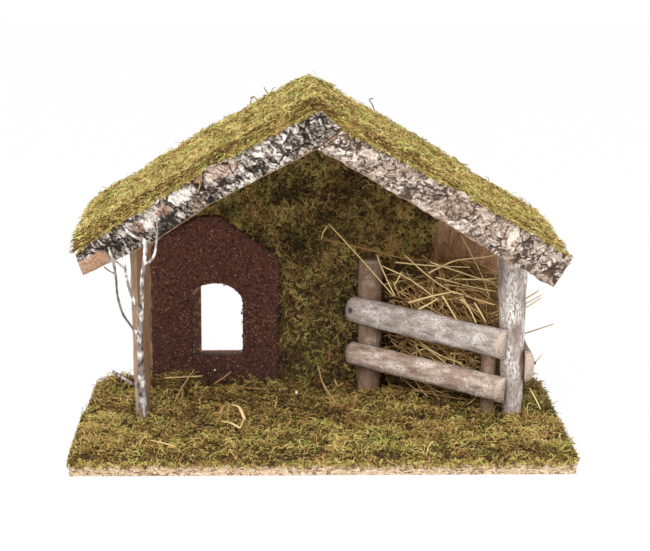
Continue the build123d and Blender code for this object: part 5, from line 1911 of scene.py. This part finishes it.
# %% Long stalks
LONG_STALKS = [
    [(7, 62, 136), (30, 48, 113), (52, 34, 90)],
    [(4, 64, 124), (31, 59, 119), (61, 55, 112), (78, 50, 112)],
    [(6, 62, 134), (3, 63, 129), (2, 64, 124)], [(41, 50, 116), (45, 42, 106), (53, 34, 90)],
    [(58, 40, 106), (56, 39, 102), (53, 38, 97)], [(44, 46, 109), (63, 35, 102), (83, 24, 89)],
    [(61, 52, 115), (80, 36, 101), (94, 20, 95)], [(94, 62, 131), (92, 56, 120), (89, 50, 109)],
    [(100, 62, 129), (97, 56, 118), (94, 50, 107)], [(101, 60, 129), (114, 41, 105), (118, 22, 93)],
    [(77, 40, 105), (95, 39, 114), (114, 37, 117), (123, 36, 119)],
    [(95, 34, 102), (112, 29, 103), (123, 24, 105)],
    [(82, 36, 103), (103, 27, 99), (122, 18, 97)], [(62, 26, 87), (79, 22, 93), (93, 18, 97)],
    [(69, 20, 84), (76, 19, 88), (82, 18, 92)], [(93, 22, 96), (111, 17, 91), (121, 12, 89)],
    [(85, 18, 94), (90, 15, 86), (95, 12, 78)], [(99, 16, 93), (104, 12, 85), (108, 8, 77)],
    [(107, 14, 90), (111, 10, 84), (115, 9, 77)], [(120, 24, 79), (141, 20, 90), (152, 16, 98)],
    [(120, 24, 77), (142, 20, 87), (154, 16, 95)], [(120, 24, 74), (142, 20, 84), (154, 16, 93)],
    [(124, 24, 60), (143, 20, 66), (163, 16, 74)], [(146.5, 9, 44), (150, 7, 49), (154, 5, 55)],
    [(147, 10, 29), (151, 6, 22), (154, 2, 16)], [(54, 48, 111), (78, 42, 110), (106, 36, 110)],
    [(78, 40, 113), (106, 32, 105), (122, 24, 102)],
]
DARK_STALKS = {1, 7, 8, 22}
print("long stalks:", len(LONG_STALKS), "of which dark:", len(DARK_STALKS))

# %% Loose hay
HAY_STALKS, HAY_SIDES = 1550, 5


def build_hay():
    """All stalks as one piece, with painted shade that darkens them away from the rails, and the long
    ones lightest.
    """
    rng = np.random.default_rng(121)
    stalks = random_stalks(rng, HAY_STALKS)
    long_ones = np.array([smooth_path(points, HAY_RINGS) for points in LONG_STALKS])
    paths = np.concatenate([stalks, long_ones])
    girth = 0.3 + 0.5 * rng.random(len(paths)) ** 2
    girth[len(stalks):] = 0.55 + 0.2 * rng.random(len(long_ones))
    radii = girth[:, None] * np.linspace(1, 0.6, HAY_RINGS)
    points, faces, cells = threads(paths, radii, HAY_SIDES)
    # Painted shade: stalks that lie further behind the rails get a lower tint.
    depth = behind_rails(stalks.mean(axis=1))
    tints = np.full(len(paths), 1.0)
    tints[:len(stalks)] = 0.12 + 0.5 * np.exp(-depth / 14.0) + 0.55 * rng.random(len(stalks)) ** 2
    tints[[len(stalks) + order for order in DARK_STALKS]] = 0.4
    tips = np.repeat(np.linspace(0, 1, HAY_RINGS), HAY_SIDES)
    marks = {"tint": np.repeat(tints, HAY_RINGS * HAY_SIDES), "tip": np.tile(tips, len(paths))}
    make_piece("loose_hay", points, faces, [straw], "hay_bundle", marks=marks, uvs=cells)


build_hay()

# %% [markdown]
# ## Bits on the ground and the roof
# A few things fell on the moss and stayed: curled wood shavings, single straws, two white beads and
# stray sprigs on the roof. Each could be its own curve object, but the thread maker does the same:
# shavings are threads pressed flat, and a bead is a very short one with round ends. They are few
# and stand out, so all are listed one by one.

# %% Bits from threads
BIT_RINGS, BIT_SIDES = 16, 6
THREAD_TAPER = np.concatenate([[0.6], np.ones(BIT_RINGS - 2), [0.5]])
BEAD_TAPER = np.sqrt(1.02 - np.linspace(-1, 1, BIT_RINGS) ** 2)


def build_bits(name, lines, girth, tint, dry, material, flat=1.0, taper=THREAD_TAPER):
    """Threads along listed lines, flattened to ribbons if asked."""
    girth, tint, dry = (np.broadcast_to(given, len(lines)) for given in (girth, tint, dry))
    paths = np.array([smooth_path(line, BIT_RINGS) for line in lines])
    points, faces, cells = threads(paths, np.outer(girth, taper), BIT_SIDES, flat)
    each = BIT_RINGS * BIT_SIDES
    marks = {"tint": np.repeat(tint, each), "tip": np.zeros(len(points)), "dry": np.repeat(dry, each)}
    make_piece(name, points, faces, [material], marks=marks, uvs=cells)


print("points of a bit:", BIT_RINGS * BIT_SIDES)

# %% Wood shavings
SHAVINGS = [
    [(-68, -26, 17.5), (-61, -35, 19), (-55, -43, 18)], [(-61, 3, 20), (-56, -7, 21), (-52, -25, 18)],
    [(-69, -12, 18), (-67, -3, 21), (-61, 3, 20)], [(-53, -22, 18.5), (-53, -33, 20), (-55, -43, 18)],
    [(-111, 46, 26.5), (-97, 45, 27.5), (-83, 46, 28)], [(65, 36, 20), (83, 25, 20), (101, 16, 19)],
    [(51, 45, 21), (56, 42, 21), (61, 40, 20)], [(12, 60, 21), (14, 54, 18), (18, 57, 19)],
]
build_bits("wood_shavings", SHAVINGS, (1.1, 1.1, 0.9, 0.5, 1.0, 0.9, 0.8, 0.7),
           (1.1, 1.1, 0.6, 0.9, 0.95, 0.6, 0.6, 0.7), (0, 0, 0.3, 0, 0.2, 0.7, 0.7, 0.2),
           straw, flat=0.35)

# %% Fallen straws
STRAWS = [
    [(-114, -64, 17), (-104, -72, 17.5), (-96, -76, 16)],
    [(-89, 49, 32), (-96, 34, 25.5), (-102, 14, 18)],
    [(-75, 50, 21), (-69, 53, 24), (-63, 57, 28)], [(0, 62, 31), (3, 50, 21), (7, 32, 17)],
    [(2, 60, 21), (6, 40, 19), (11, 16, 17)], [(-65, -67, 17), (-63, -58, 19), (-61, -49, 18)],
    [(-28, -76, 15), (-24, -74, 17), (-20, -71, 16)], [(-60, 50, 19), (-49, 45, 19), (-38, 45, 18)],
    [(97, 58, 22), (101, 46, 20), (104, 33, 18)],
    [(-82, -55, 191), (-79.5, -58, 187), (-81.5, -55.5, 181)],
]
build_bits("fallen_straws", STRAWS, 0.45, (1.1, 0.6, 0.6, 0.6, 0.7, 0.5, 0.8, 0.5, 0.6, 0.6), 0.2,
           straw)

# %% White beads
bead_white = finish_material("bead_white", group_colour(
    FIBRE_TINT, shade=tone(226, 222, 214), body=tone(240, 237, 230), light=tone(252, 250, 246),
    patch_scale=900.0, patch_share=0.6, tip_share=0.0), 0.7)
BEADS = [[(-16.9, 24, 21.5), (-16.2, 24, 21.8), (-15.5, 24, 21.5)],
         [(-75.6, 63, 27), (-75, 63, 27.3), (-74.4, 63, 27)]]
build_bits("white_beads", BEADS, (1.4, 0.8), (0.8, 0.6), 0.0, bead_white, taper=BEAD_TAPER)

# %% Stray sprigs on the roof
ROOF_BITS = [
    [(-49, 83, 217), (-48, 82, 222), (-46, 82, 224)], [(-43, 83, 220), (-46, 82, 224), (-49, 82, 223)],
    [(-36, 83, 226), (-38, 82, 229), (-39, 82, 231)],
    [(40, 83, 214), (38, 82, 219), (36, 82, 222), (39, 82, 223)],
]
build_bits("roof_bits", ROOF_BITS, 0.38, (0.3, 0.25, 0.3, 0.0), 0.0, roof_moss)
